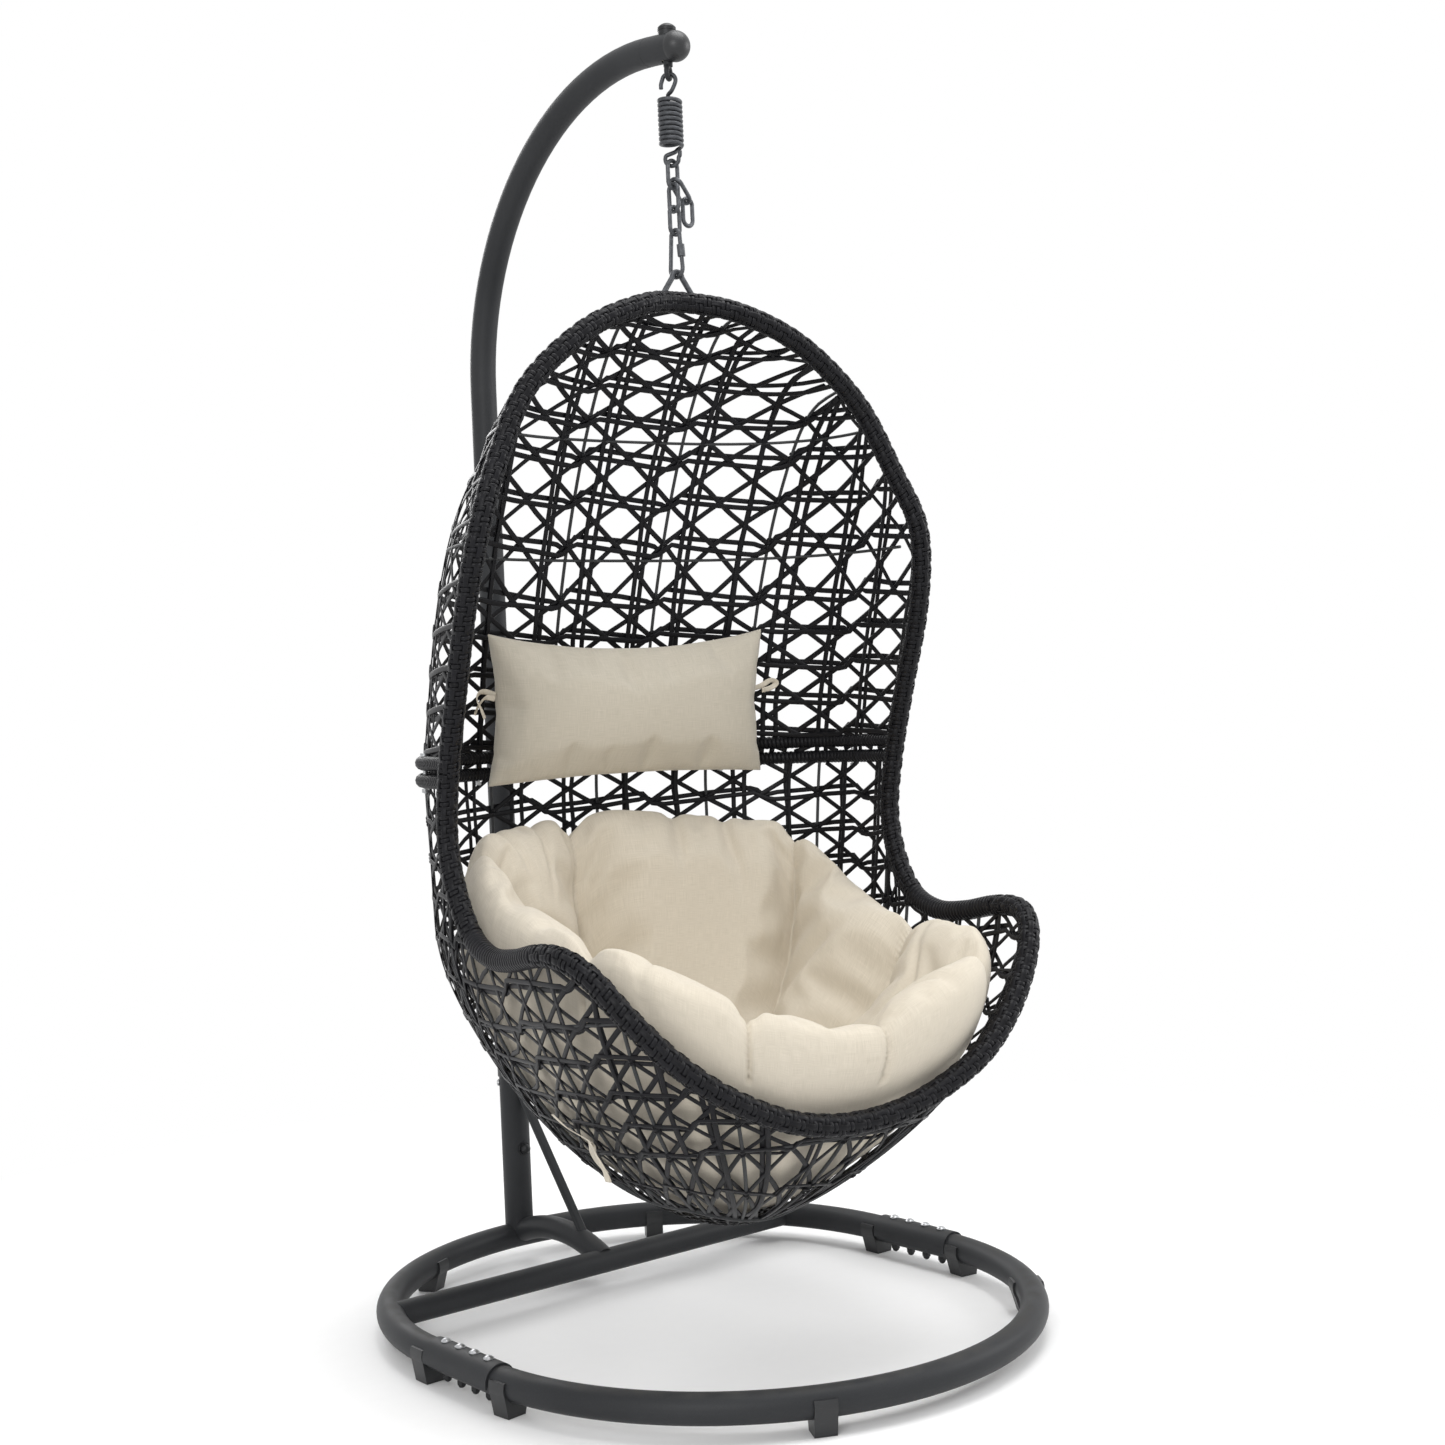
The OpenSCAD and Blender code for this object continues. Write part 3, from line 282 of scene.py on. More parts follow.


# %% [markdown]
# ## Cloth
# Both cushions are covered in a plain woven polyester in a sandy beige. Its
# threads are not all of one thickness, which gives a faint streak both ways,
# and the fibre gives a soft sheen at glancing angles. The map laid on each
# piece is in metres, so a thread is as fine on every piece. The pillow gets a
# darker copy of the same cloth, as painted shade for where it sits inside the
# hood, so the recipe is told its tones.

# %% Cloth
def cloth(name="cloth", dark=(203, 194, 177), light=(219, 210, 194)):
    weave = Finish(name)
    across = weave.noise(weave.laid((1500, 40, 1)), 1, 1)
    along = weave.noise(weave.laid((40, 1500, 1)), 1, 1)
    cloud = weave.noise(weave.place(), 9, 3)
    way = weave.add("ShaderNodeSeparateXYZ", inputs={0: weave.laid()}, output=0)
    way_up = weave.add("ShaderNodeSeparateXYZ", inputs={0: weave.laid()}, output=1)
    thread = (way * 5200).sine() * (way_up * 5200).sine()
    slub = (across + along) * 0.5
    colour = weave.blend(slub.clipped(0.36, 0.66), paint(*dark), paint(*light))
    colour = weave.blend(cloud.clipped(0.35, 0.7) * 0.25, colour, paint(*dark))
    height = 0.35 * thread + slub * 1.4
    return weave.shade(Base_Color=colour, Roughness=0.86 + 0.1 * (slub - 0.5),
        Normal=weave.bump(height, 0.3, 0.0006), Sheen_Weight=0.18, Sheen_Roughness=0.5,
        Specular_IOR_Level=0.25)


# %% Give every solid its finish
finishes = {
    "powder_coat": powder_coat(),
    "black_plastic": black_plastic(),
    "zinc": metal("bright zinc", paint(150, 152, 154), paint(205, 206, 208), 0.34, 0.85),
    "black_steel": metal("blackened steel", paint(26, 27, 28), paint(44, 45, 47), 0.42, 0.4),
    "nylon": nylon(),
    "spring_steel": metal("spring steel", paint(52, 54, 57), paint(78, 80, 84), 0.42, 0.45, 0.25),
    "chain_steel": metal("chain steel", paint(58, 60, 63), paint(92, 94, 98), 0.42, 0.5, 0.3),
    "frame_steel": metal("basket steel", paint(30, 31, 33), paint(46, 48, 50), 0.5, 0.1),
    "cane": cane(),
    "cloth": cloth(),
}
for part in frame["record"]["subparts"]:
    mesh = nodes[part["node"]].data
    mesh.materials.clear()
    mesh.materials.append(finishes[part["material_slot"]])
print("finishes:", ", ".join(finishes))


# %% [markdown]
# ## Meshes from rows of points
# Everything woven or wound is one of two things: a strip that follows a line
# on a surface, or a round tube along a line. Both are rings of points joined
# row by row. Working on whole arrays keeps hundreds of strips quick, and all
# strips of one piece go into one mesh.

# %% A mesh piece from points and faces
def mesh_piece(name, points, faces, laid, finish):
    """points in metres; laid is one pair of metres for each corner of each face."""
    mesh = bpy.data.meshes.new(name)
    mesh.from_pydata(points.tolist(), [], faces)
    layer = mesh.uv_layers.new(name="Laid")
    layer.data.foreach_set("uv", np.asarray(laid, np.float32).ravel())
    mesh.polygons.foreach_set("use_smooth", [True] * len(mesh.polygons))
    mesh.materials.append(finish)
    thing = bpy.data.objects.new(name, mesh)
    bpy.context.scene.collection.objects.link(thing)
    print(name, "-", len(faces), "faces")
    return thing


# %% Rings of points joined to a mesh
class Gather:
    """Collects swept lines for one piece, with a map in metres along each."""

    def __init__(self):
        self.points, self.faces, self.laid = [], [], []
        self.count = 0

    def sweep(self, line, normals, section, closed=False, start=0.0):
        """line is n points in millimetres, section a list of (side, normal) offsets."""
        line = np.asarray(line, float)
        normals = np.asarray(normals, float)
        section = np.asarray(section, float)
        n, k = len(line), len(section)
        if closed:
            ahead = np.roll(line, -1, 0) - np.roll(line, 1, 0)
        else:
            ahead = np.gradient(line, axis=0)
        ahead /= np.linalg.norm(ahead, axis=1)[:, None] + 1e-9
        side = np.cross(ahead, normals)
        side /= np.linalg.norm(side, axis=1)[:, None] + 1e-9
        out = np.cross(side, ahead)
        grid = line[:, None] + section[None, :, :1] * side[:, None] + section[None, :, 1:] * out[:, None]
        self.points.append(grid.reshape(-1, 3))
        steps = np.linalg.norm(np.diff(line, axis=0, append=line[:1]), axis=1)
        far = (np.concatenate([[0], np.cumsum(steps)]) * 0.001 + start)
        round_it = np.linalg.norm(np.diff(section, axis=0, append=section[:1]), axis=1)
        wide = np.concatenate([[0], np.cumsum(round_it)]) * 0.001
        rows = n if closed else n - 1
        i, j = np.meshgrid(np.arange(rows), np.arange(k), indexing="ij")
        i2, j2 = (i + 1) % n, (j + 1) % k
        quads = np.stack([i * k + j, i * k + j2, i2 * k + j2, i2 * k + j], -1).reshape(-1, 4)
        self.faces += (quads + self.count).tolist()
        maps = np.stack([
            np.stack([far[i], wide[j]], -1), np.stack([far[i], wide[j + 1]], -1),
            np.stack([far[i + 1], wide[j + 1]], -1), np.stack([far[i + 1], wide[j]], -1)], 2)
        self.laid.append(maps.reshape(-1, 2))
        if not closed:
            for first, ring in ((0, range(k - 1, -1, -1)), ((n - 1) * k, range(k))):
                self.faces.append([self.count + first + j for j in ring])
                self.laid.append(np.tile([[far[0], 0.0]], (k, 1)))
        self.count += n * k

    def piece(self, name, finish, place=None):
        """The lines so far as one piece, carried into the chair by place."""
        points = (place or in_basket)(np.concatenate(self.points))
        return mesh_piece(name, points, self.faces, np.concatenate(self.laid), finish)


BASKET_TURN = math.radians(-8.7)
HANGS_IN_FRONT = 33.0


def turned(x, y, angle):
    """Turns places about the hanging line, which is in front of the ring's middle."""
    c, s = math.cos(angle), math.sin(angle)
    return c * x - s * y, s * x + c * y - HANGS_IN_FRONT


def in_basket(points):
    """Basket points, in millimetres about the hanging line, to metres in the chair."""
    x, y, z = np.asarray(points, float).T
    return np.stack([*turned(x, y, BASKET_TURN), z], -1) * 0.001


def flat_cane(width=6.6, thick=1.8):
    """Section of a flat strip with a crowned face."""
    return [(x * width, y * thick) for x, y in
        [(-0.5, -0.2), (-0.38, 0.3), (-0.13, 0.5), (0.13, 0.5), (0.38, 0.3), (0.5, -0.2),
         (0.3, -0.5), (-0.3, -0.5)]]


def round_rod(diameter, sides=8):
    return [(diameter / 2 * math.cos(2 * math.pi * k / sides),
        diameter / 2 * math.sin(2 * math.pi * k / sides)) for k in range(sides)]


# %% [markdown]
# ## The egg's shape
# The weave has no shape of its own. It lies on an egg: below, a bowl that is
# round from above and pinched towards the floor, and above it a hood, open
# in front, whose edge is the bent rim. The same few curves that made the
# solids are written here for whole arrays, so the weave lies where the
# solids are.

# %% The egg
HALF, BASE, WIDE, DEEP, BACK, TOP, JOINT = 390.0, 160.0, 620.0, 800.0, 368.0, 1550.0, 855.0
BOWL_Y, HOOD_BULGE, SKIN = -27.0, 2.75, 7.0
MIDDLE = np.array([0, BOWL_Y, JOINT])


def share(value, low=0.0):
    return np.clip(value, low, None)


def half_width(z):
    return HALF * share(1 - share((WIDE - z) / (WIDE - BASE)) ** 1.6) ** (1 / 1.6)


def front_reach(z):
    return 540 * share(1 - (np.abs(DEEP - z) / (DEEP - BASE)) ** 1.7) ** (1 / 1.7)


def back_reach(z):
    above = BACK * share(1 - (share(z - DEEP) / (TOP - DEEP)) ** 1.5) ** (1 / 1.5)
    below = BACK * share(1 - (share(DEEP - z) / (DEEP - BASE)) ** 2.4) ** (1 / 2.4)
    return np.where(z > DEEP, above, below)


def bulge(z, front):
    return np.where(front, 2 + np.minimum(1, (z - BASE) / 250),
        2 + (HOOD_BULGE - 2) * np.minimum(1, (z - BASE) / 400))


def egg(angle, z):
    """Angle in degrees from the front over the right to the back."""
    angle, z = np.broadcast_arrays(np.asarray(angle, float), np.asarray(z, float))
    s, c = np.sin(np.radians(angle)), np.cos(np.radians(angle))
    power = 2 / bulge(z, c > 0)
    reach = np.where(c > 0, front_reach(z), back_reach(z))
    return np.stack([half_width(z) * np.sign(s) * np.abs(s) ** power,
        BOWL_Y - np.sign(c) * reach * np.abs(c) ** power, z], -1)


def egg_angle(p):
    front = p[..., 1] < BOWL_Y
    power = bulge(p[..., 2], front)
    reach = np.where(front, front_reach(p[..., 2]), back_reach(p[..., 2]))
    s = np.minimum(1, np.abs(p[..., 0]) / half_width(p[..., 2])) ** (power / 2)
    c = (np.abs(p[..., 1] - BOWL_Y) / reach) ** (power / 2)
    return np.degrees(np.arctan2(s, np.where(front, c, -c)))


def inward(points, depth):
    away = MIDDLE - points
    return points + np.asarray(depth)[..., None] * away / np.linalg.norm(away, axis=-1)[..., None]


# %% [markdown]
# ## The two rims
# Both rims are bent tube, and each is the same on the left and the right. A
# handful of points and a smooth curve through them give half of one. The
# seat's rim runs level along the armrest and drops to the low front edge.

# %% The rims
HOOD_POINTS = [
    [0, 0, 1544], [85, -34, 1527], [186, -49, 1481], [282, -54, 1396], [338, -65, 1290],
    [374, -77, 1198], [389, -50, 1086], [HALF, 0, 953], [HALF, 34, JOINT]]
SEAT_POINTS = [
    [HALF, 34, JOINT], [388, 52, 755], [385, 30, 676], [383, -14, 622], [382, -75, 600],
    [382, -145, 603], [383, -215, 615], [377, -280, 616], [358, -325, 592], [324, -354, 541],
    [270, -377, 480], [200, -391, 427], [100, -388, 382], [0, -384, 367]]
MIRROR = np.array([-1.0, 1, 1])


def curve(points, steps):
    """Smooth curve through every point but the first and the last."""
    p = np.array(points, float)
    t = (np.arange(steps) / steps)[:, None]
    out = [p[i] + 0.5 * t * ((p[i + 1] - p[i - 1]) + t * (
        (2 * p[i - 1] - 5 * p[i] + 4 * p[i + 1] - p[i + 2])
        + t * (3 * (p[i] - p[i + 1]) + p[i + 2] - p[i - 1]))) for i in range(1, len(p) - 2)]
    return np.concatenate(out + [p[-2:-1]])


def distances(line):
    return np.concatenate([[0], np.cumsum(np.linalg.norm(np.diff(line, axis=0), axis=1))])


def spaced(line, count):
    """The same line with count + 1 even points."""
    at = distances(line)
    want = np.linspace(0, at[-1], count + 1)
    return np.stack([np.interp(want, at, line[:, i]) for i in range(3)], -1)


hood_right = curve([MIRROR * HOOD_POINTS[1]] + HOOD_POINTS + [SEAT_POINTS[1]], 12)
seat_right = curve([HOOD_POINTS[7]] + SEAT_POINTS + [MIRROR * SEAT_POINTS[12]], 12)
hood_line = np.concatenate([hood_right[::-1], hood_right[1:] * MIRROR])
seat_line = np.concatenate([seat_right, seat_right[::-1][1:] * MIRROR])
rim_up = hood_right[::-1]
print("hood rim %.2f m, seat rim %.2f m" % (distances(hood_line)[-1] / 1000,
    distances(seat_line)[-1] / 1000))


# %% The hood's skin
def hood_rim_at(z):
    """Where the right rim is at a height, sideways and front to back."""
    return np.stack([np.interp(z, rim_up[:, 2], rim_up[:, i]) for i in (0, 1)], -1)


def hood_skin(z, u, rim=None):
    """u goes from 0 at the right rim round the back to 1 at the left rim."""
    rim = hood_rim_at(z) if rim is None else rim
    a = np.pi * u
    deep = BOWL_Y + back_reach(z) - rim[..., 1]
    c = np.cos(a)
    return np.stack([rim[..., 0] * np.sign(c) * np.abs(c) ** (2 / HOOD_BULGE),
        rim[..., 1] + deep * np.sin(a) ** (2 / HOOD_BULGE), z + 0 * u], -1)


# %% [markdown]
# ## A ruler on the hood
# The weave has a rhythm: a steel rib every 175 mm round the back, and rows
# of cane between them. So the hood gets a ruler of its own. Column 0 is the
# middle of the back, and the ribs are at the halves. From a table of how far
# round each height is, any column and height turn into a point of the skin.

# %% Columns round the hood
RIB_STEP = 175.0
levels = np.arange(845.0, 1544.0, 4.0)
turns = np.concatenate([np.linspace(0, 0.06, 60), np.linspace(0.06, 0.94, 400)[1:-1],
    np.linspace(0.94, 1, 60)])
columns = np.linspace(-4, 4, 401)
turn_table = np.zeros((len(levels), len(columns)))
column_edge = np.zeros(len(levels))
for row, z in enumerate(levels):
    round_back = hood_skin(np.full(turns.shape, z), turns)[::-1]
    along = distances(round_back)
    x = round_back[:, 0]
    side = np.interp(1.5 * RIB_STEP, x, along) if x[-1] > 1.5 * RIB_STEP else None
    column = x / RIB_STEP
    if side is not None:
        right = x > 1.5 * RIB_STEP
        column = np.where(right, 1.5 + (along - side) / RIB_STEP, column)
        column = np.where(x < -1.5 * RIB_STEP, -1.5 - (along[-1] - side - along) / RIB_STEP, column)
    turn_table[row] = np.interp(columns, column, turns[::-1])
    column_edge[row] = column[-1]


def on_hood(column, z):
    """Point and outward normal of the hood's skin, and how far outside its edge it is."""
    z = np.clip(z, levels[0], levels[-1])
    row = np.clip((z - levels[0]) / 4, 0, len(levels) - 1.001)
    spot = np.clip((column + 4) / 0.02, 0, 399.99)
    i, j = row.astype(int), spot.astype(int)
    fi, fj = row - i, spot - j
    u = ((turn_table[i, j] * (1 - fj) + turn_table[i, j + 1] * fj) * (1 - fi)
        + (turn_table[i + 1, j] * (1 - fj) + turn_table[i + 1, j + 1] * fj) * fi)
    point = hood_skin(z, u)
    near = np.clip(u, 0.012, 0.988)
    across = hood_skin(z, near - 0.004) - hood_skin(z, near + 0.004)
    rise = hood_skin(np.minimum(z + 3, 1543.5), near) - hood_skin(z - 3, near)
    normal = np.cross(across, rise)
    normal /= np.linalg.norm(normal, axis=-1)[..., None] + 1e-9
    outward = np.sign((normal * (point - MIDDLE)).sum(-1))[..., None]
    over = np.abs(column) - np.interp(z, levels, column_edge)
    return point, normal * outward, over


print("columns at the joint: +-%.2f" % column_edge[3])


# %% [markdown]
# ## Weaving
# A strand is drawn on the ruler first, as a line of column and row numbers,
# and only then laid on the skin. That way one rule serves for every strand:
# it is cut where it reaches the rim, given its place above or below the
# others, and swept with the strip's section. The small wobble of a hand that
# weaves comes from a seeded random number, so that it is the same each time.

# %% Lay one strand
hand = np.random.default_rng(7)
ROW_TALL = 60.0       # about how far apart two rows of the weave are, in millimetres
MAP_START = 60.0      # a strip's map starts anywhere in so many metres of cane
MIDDLE_OF_SKIN = SKIN / 2


def wobble(count, size):
    """A slow wander along a strand."""
    knots = hand.normal(0, size, max(3, count // 5 + 3))
    return np.interp(np.linspace(0, len(knots) - 1, count), np.arange(len(knots)), knots)


def lay(gather, surface, column, row, layer, width, thick=1.8, reach=0.07):
    """Lays a strand given by column and row lines; cuts it where it passes the edge."""
    steps = max(2, int(np.hypot(np.diff(column) * RIB_STEP, np.diff(row) * ROW_TALL).sum() / 11))
    t = np.linspace(0, 1, len(column))
    fine = np.linspace(0, 1, steps)
    column, row = np.interp(fine, t, column), np.interp(fine, t, row)
    point, normal, over = surface(column, row)
    ahead = np.gradient(point, axis=0)
    ahead /= np.linalg.norm(ahead, axis=1)[:, None] + 1e-9
    across = np.cross(ahead, normal)
    point = point + across * wobble(steps, 0.9)[:, None]
    point = inward(point, np.full(steps, MIDDLE_OF_SKIN)) + normal * layer
    inside = over < reach
    runs = np.flatnonzero(np.diff(np.concatenate([[0], inside, [0]])))
    for first, last in zip(runs[::2], runs[1::2]):
        if last - first > 2:
            gather.sweep(point[first:last], normal[first:last], flat_cane(width, thick),
                start=hand.uniform(0, MAP_START))


# %% [markdown]
# ## Ribs and hoops of the hood
# Under the weave is a cage of thin steel: four upright ribs and two hoops.
# They are swept along the same ruler, as round rods in the middle of the
# skin's thickness, and at every crossing with a row the cane is wound two
# and a half times round them.

# %% The hood's cage
HOOD_ROWS = [850, 885, 942, 1000, 1058, 1115, 1203, 1268, 1333, 1388, 1438, 1480, 1515, 1535, 1543]


def hood_height(row):
    return np.interp(row, np.arange(len(HOOD_ROWS)), HOOD_ROWS)


def hood_surface(column, row):
    return on_hood(column, hood_height(row))


def rod_on(gather, surface, column, row, diameter, sides=8):
    point, normal, over = surface(column, row)
    keep = over < 0.05
    line = inward(point, np.full(len(point), MIDDLE_OF_SKIN))[keep]
    gather.sweep(line, normal[keep], round_rod(diameter, sides), start=hand.uniform(0, MAP_START))
    return line


HOOD_RIBS = (-1.5, -0.5, 0.5, 1.5)
cage = Gather()
for rib in HOOD_RIBS:
    rows = np.linspace(0, 14, 120)
    rod_on(cage, hood_surface, np.full(120, rib), rows, 5.5)
hood_ribs = cage.piece("hood_rib_rods", finishes["frame_steel"])
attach(hood_ribs, "basket")
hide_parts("hood_ribs")
cage = Gather()
for height in (1178, 1358):
    row = np.interp(height, HOOD_ROWS, np.arange(15))
    rod_on(cage, hood_surface, np.linspace(-3, 3, 160), np.full(160, row), 5.0)
hood_hoops = cage.piece("hood_hoop_rods", finishes["frame_steel"])
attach(hood_hoops, "basket")
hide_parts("hood_hoops")


# %% [markdown]
# ## The hood's weave
# Four kinds of strand make the open pattern of stars and six-sided windows.
# Double rows run round the back and step up at every rib, because the strand
# is wound round the rib there. Double uprights stand at a quarter and three
# quarters of each cell. Two sets of slanting strands pass through every
# crossing of rib and row, one rising to the right and one to the left.

# %% Row, upright and slanting strands
def saw(column, rise):
    """Rise at each rib going right, with a slow fall in the cell after it."""
    part = (column - 0.5) % 1.0
    return rise * np.where(part < 0.06, part / 0.06 - 0.5, 0.5 - (part - 0.06) / 0.94)


def pinch(column, wide):
    """Half the gap of a double strand, closing at the ribs."""
    part = np.abs((column - 0.5 + 0.5) % 1.0 - 0.5)
    return wide * np.clip(part / 0.09, 0.25, 1)


def weave(gather, surface, column_range, rows, step_up, top_row, width=8.6):
    low, high = column_range
    column = np.arange(low, high, 0.03)
    for row in rows:
        for way in (-1, 1):
            lift = saw(column, step_up) + way * pinch(column, 0.085) + 0.02 * hand.normal()
            lay(gather, surface, column, row + lift, layer=way * 2.4, width=width)
    uprights = np.arange(math.floor(low) + 0.5, high, 1.0)
    for rib in uprights:
        for part in (0.235, 0.765):
            for way in (-1, 1):
                drift = 0.02 * hand.normal()
                rows_up = np.linspace(rows[0] - 1, top_row, 60)
                lay(gather, surface, rib + part + way * 0.03 + drift + 0.02 * wobble(60, 0.4),
                    rows_up, layer=way * 1.5, width=width)
    for slope in (-2, 2):
        first = int(rows[0] - 1 - 2 * (high - low)) - 1
        for number in range(first, int(top_row + 2 * (high - low)) + 2):
            slant = np.linspace(low, high, 90)
            height = slope * (slant - 0.5) + number
            keep = (height > rows[0] - 1) & (height < top_row)
            if keep.sum() > 3:
                lay(gather, surface, slant[keep], height[keep] + 0.03 * hand.normal(),
                    layer=0.8 * np.sign(slope), width=width)


strands = Gather()
weave(strands, hood_surface, (-3.5, 3.5), range(1, 13), 0.24, 13.6)


# %% Windings where a row meets a rib
def winding(gather, surface, column, row, radius, turns_round, pitch, width=5.0):
    """A short coil of cane round an upright rod."""
    t = np.linspace(0, 1, int(10 * turns_round) + 1)
    tall = 0.5 * pitch * turns_round / ROW_TALL
    point, normal, over = surface(np.full(t.shape, column), row + tall * (2 * t - 1))
    if over[0] > 0:
        return
    ahead = np.gradient(point, axis=0)
    ahead /= np.linalg.norm(ahead, axis=1)[:, None] + 1e-9
    side = np.cross(ahead, normal)
    angle = 2 * np.pi * turns_round * t + hand.uniform(0, 6)
    away = np.cos(angle)[:, None] * normal + np.sin(angle)[:, None] * side
    line = inward(point, np.full(t.shape, MIDDLE_OF_SKIN)) + radius * away
    gather.sweep(line, away, flat_cane(width, 1.4), start=hand.uniform(0, MAP_START))


for rib in HOOD_RIBS:
    for row in range(1, 13):
        winding(strands, hood_surface, rib, row, 3.9, 2.5, 5.5)
hood_weave = strands.piece("hood_cane", finishes["cane"])
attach(hood_weave, "basket")
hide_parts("hood_weave")

# %% [markdown]
# ## A ruler on the seat
# The bowl is woven in the round. Sixteen ribs run from the bottom hoop up to
# the rim or to the bar at the back, so a column number goes from 0 at the
# front over the right side and back round to 16. The rows are level on the
# sides and rise a little to the front, as the two steel hoops do.

# %% Columns round the seat
def seat_edge_line():
    bar = hood_skin(np.full(13, JOINT - 13), np.arange(13) / 24, np.array([HALF, 34.0]))
    path = np.concatenate([seat_right[::-1][::4], bar[1:]])
    half = spaced(path, 24)
    return np.concatenate([half, half[::-1][1:-1] * MIRROR])


seat_edge = seat_edge_line()
SEAT_LOW, FLARE, HOOP_V = BASE + 4, 1.7, 0.28


def seat_skin(k, v):
    """k in 0 to 48 round the bowl, v from the bottom to the edge."""
    k = np.asarray(k, float) % 48
    ring = np.concatenate([seat_edge, seat_edge[:1]])
    edge = np.stack([np.interp(k, np.arange(49), ring[:, i]) for i in range(3)], -1)
    right = k <= 24
    low_angle = 180 * np.where(right, k, 48 - k) / 24
    on_right = edge * np.where(right[..., None], 1, MIRROR)
    on_right[..., 0] = np.abs(on_right[..., 0])
    high_angle = egg_angle(on_right)
    z = SEAT_LOW + (edge[..., 2] - SEAT_LOW) * v ** FLARE
    p = egg(low_angle + (high_angle - low_angle) * v, z)
    miss = on_right - egg(high_angle, edge[..., 2])
    q = p + miss * (v ** 3)[..., None]
    return np.where(right[..., None], q, q * MIRROR)


def seat_height(column, row):
    """Height of a row: level at the sides, higher towards the front."""
    k = (3 * np.asarray(column, float)) % 48
    front = np.maximum(0, np.cos(2 * np.pi * k / 48))
    ring = np.append(seat_edge[:, 2], seat_edge[0, 2])
    bottom = SEAT_LOW + (np.interp(k, np.arange(49), ring) - SEAT_LOW) * HOOP_V ** FLARE
    low_hoop = 300 + 40 * front
    high_hoop = 490 + 60 * front
    below = bottom + (low_hoop - bottom) * np.clip(row / 2, 0, 1) ** 1.2
    between = low_hoop + (high_hoop - low_hoop) * np.clip((row - 2) / 4, 0, 1) ** 1.06
    above = high_hoop + (row - 6) * 58.0
    return np.where(row < 2, below, np.where(row < 6, between, above))


def seat_surface(column, row):
    z = seat_height(column, row)
    k = (3 * column) % 48
    ring = np.append(seat_edge[:, 2], seat_edge[0, 2])
    edge = np.interp(k, np.arange(49), ring)
    raw = (z - SEAT_LOW) / (edge - SEAT_LOW)
    v = np.clip(raw, 0.001, 1) ** (1 / FLARE)
    point = seat_skin(k, v)
    across = seat_skin(k + 0.2, v) - seat_skin(k - 0.2, v)
    rise = seat_skin(k, np.minimum(v + 0.01, 1)) - seat_skin(k, np.maximum(v - 0.01, 0.001))
    normal = np.cross(across, rise)
    normal /= np.linalg.norm(normal, axis=-1)[..., None] + 1e-9
    outward = np.sign((normal * (point - MIDDLE)).sum(-1))[..., None]
    over = (z - edge) / 175
    return point, normal * outward, over


# %% The seat's cage
cage = Gather()
for column in range(16):
    rod_on(cage, seat_surface, np.full(90, float(column)), np.linspace(0, 12.2, 90), 5.5)
seat_ribs = cage.piece("seat_rib_rods", finishes["frame_steel"])
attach(seat_ribs, "basket")
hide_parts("seat_ribs")
cage = Gather()
around = np.linspace(0, 16, 193)[:-1]
point, normal, over = seat_surface(around, np.full(192, 2.0))
cage.sweep(inward(point, np.full(192, MIDDLE_OF_SKIN)), normal, round_rod(5.0), closed=True)
rod_on(cage, seat_surface, np.linspace(2.0, 14.0, 160), np.full(160, 6.0), 5.0)
seat_hoops = cage.piece("seat_hoop_rods", finishes["frame_steel"])
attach(seat_hoops, "basket")
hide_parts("seat_hoops")
cage = Gather()
point, normal, over = seat_surface(around, np.zeros(192))
bottom_line = inward(point, np.full(192, MIDDLE_OF_SKIN))
cage.sweep(bottom_line, normal, round_rod(9.0, 10), closed=True)
bottom_hoop = cage.piece("bottom_hoop_rod", finishes["frame_steel"])
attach(bottom_hoop, "basket")
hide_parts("bottom_hoop")

# %% The seat's weave
strands = Gather()
weave(strands, seat_surface, (0.0, 16.0), range(1, 12), 0.22, 12.2, 7.8)
for rib in range(16):
    for row in range(1, 12):
        winding(strands, seat_surface, float(rib), row, 3.9, 2.5, 5.5)


# %% [markdown]
# ## The closed bottom
# Inside the bottom hoop the weave is close: round after round of cane, over
# one spoke and under the next. One long spiral does it, whose height swings
# with the spokes and changes sides each round.

# %% Spiral under the seat
def bottom_spiral(gather, rounds=12, spokes=32):
    t = np.linspace(0, rounds, rounds * 96)
    v = HOOP_V * (1 - 0.96 * t / rounds)
    k = 48 * (t % 1.0)
    point = seat_skin(k, v)
    swing = np.sin(np.pi * spokes * t + np.pi * np.floor(t)) * 1.6
    normal = point - MIDDLE
    normal /= np.linalg.norm(normal, axis=1)[:, None]
    line = inward(point, np.full(len(t), MIDDLE_OF_SKIN)) + normal * swing[:, None]
    gather.sweep(line, normal, flat_cane(7.5, 1.8))
    for spoke in range(spokes):
        v = np.linspace(0.01, HOOP_V, 14)
        point = seat_skin(np.full(14, 48 * spoke / spokes), v)
        normal = point - MIDDLE
        normal /= np.linalg.norm(normal, axis=1)[:, None]
        gather.sweep(inward(point, np.full(14, MIDDLE_OF_SKIN)), normal, flat_cane(6, 1.6),
            start=hand.uniform(0, MAP_START))


bottom_spiral(strands)
seat_weave = strands.piece("seat_cane", finishes["cane"])
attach(seat_weave, "basket")
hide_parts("seat_weave")


# %% [markdown]
# ## Wound rims
# The rim tubes can't be seen: cane is wound round them turn by turn. Where
# the armrests bend, the turns lie close together. Elsewhere eight more strips
# run along the rim, and the turns go over one and under the next, which gives
# a fine chequered sleeve. Both are made with one coil, whose distance from
# the tube rises and falls with the strips that it crosses.

# %% Coils round a line
def carried_frame(line):
    """Two sideways directions along a line, carried without twist."""
    ahead = np.gradient(line, axis=0)
    ahead /= np.linalg.norm(ahead, axis=1)[:, None]
    side = np.cross(ahead[0], [0, 0, 1.0]) if abs(ahead[0][2]) < 0.9 else np.cross(ahead[0], [1.0, 0, 0])
    sides = []
    for step in ahead:
        side = side - (side @ step) * step
        side /= np.linalg.norm(side)
        sides.append(side)
    sides = np.array(sides)
    return sides, np.cross(ahead, sides)


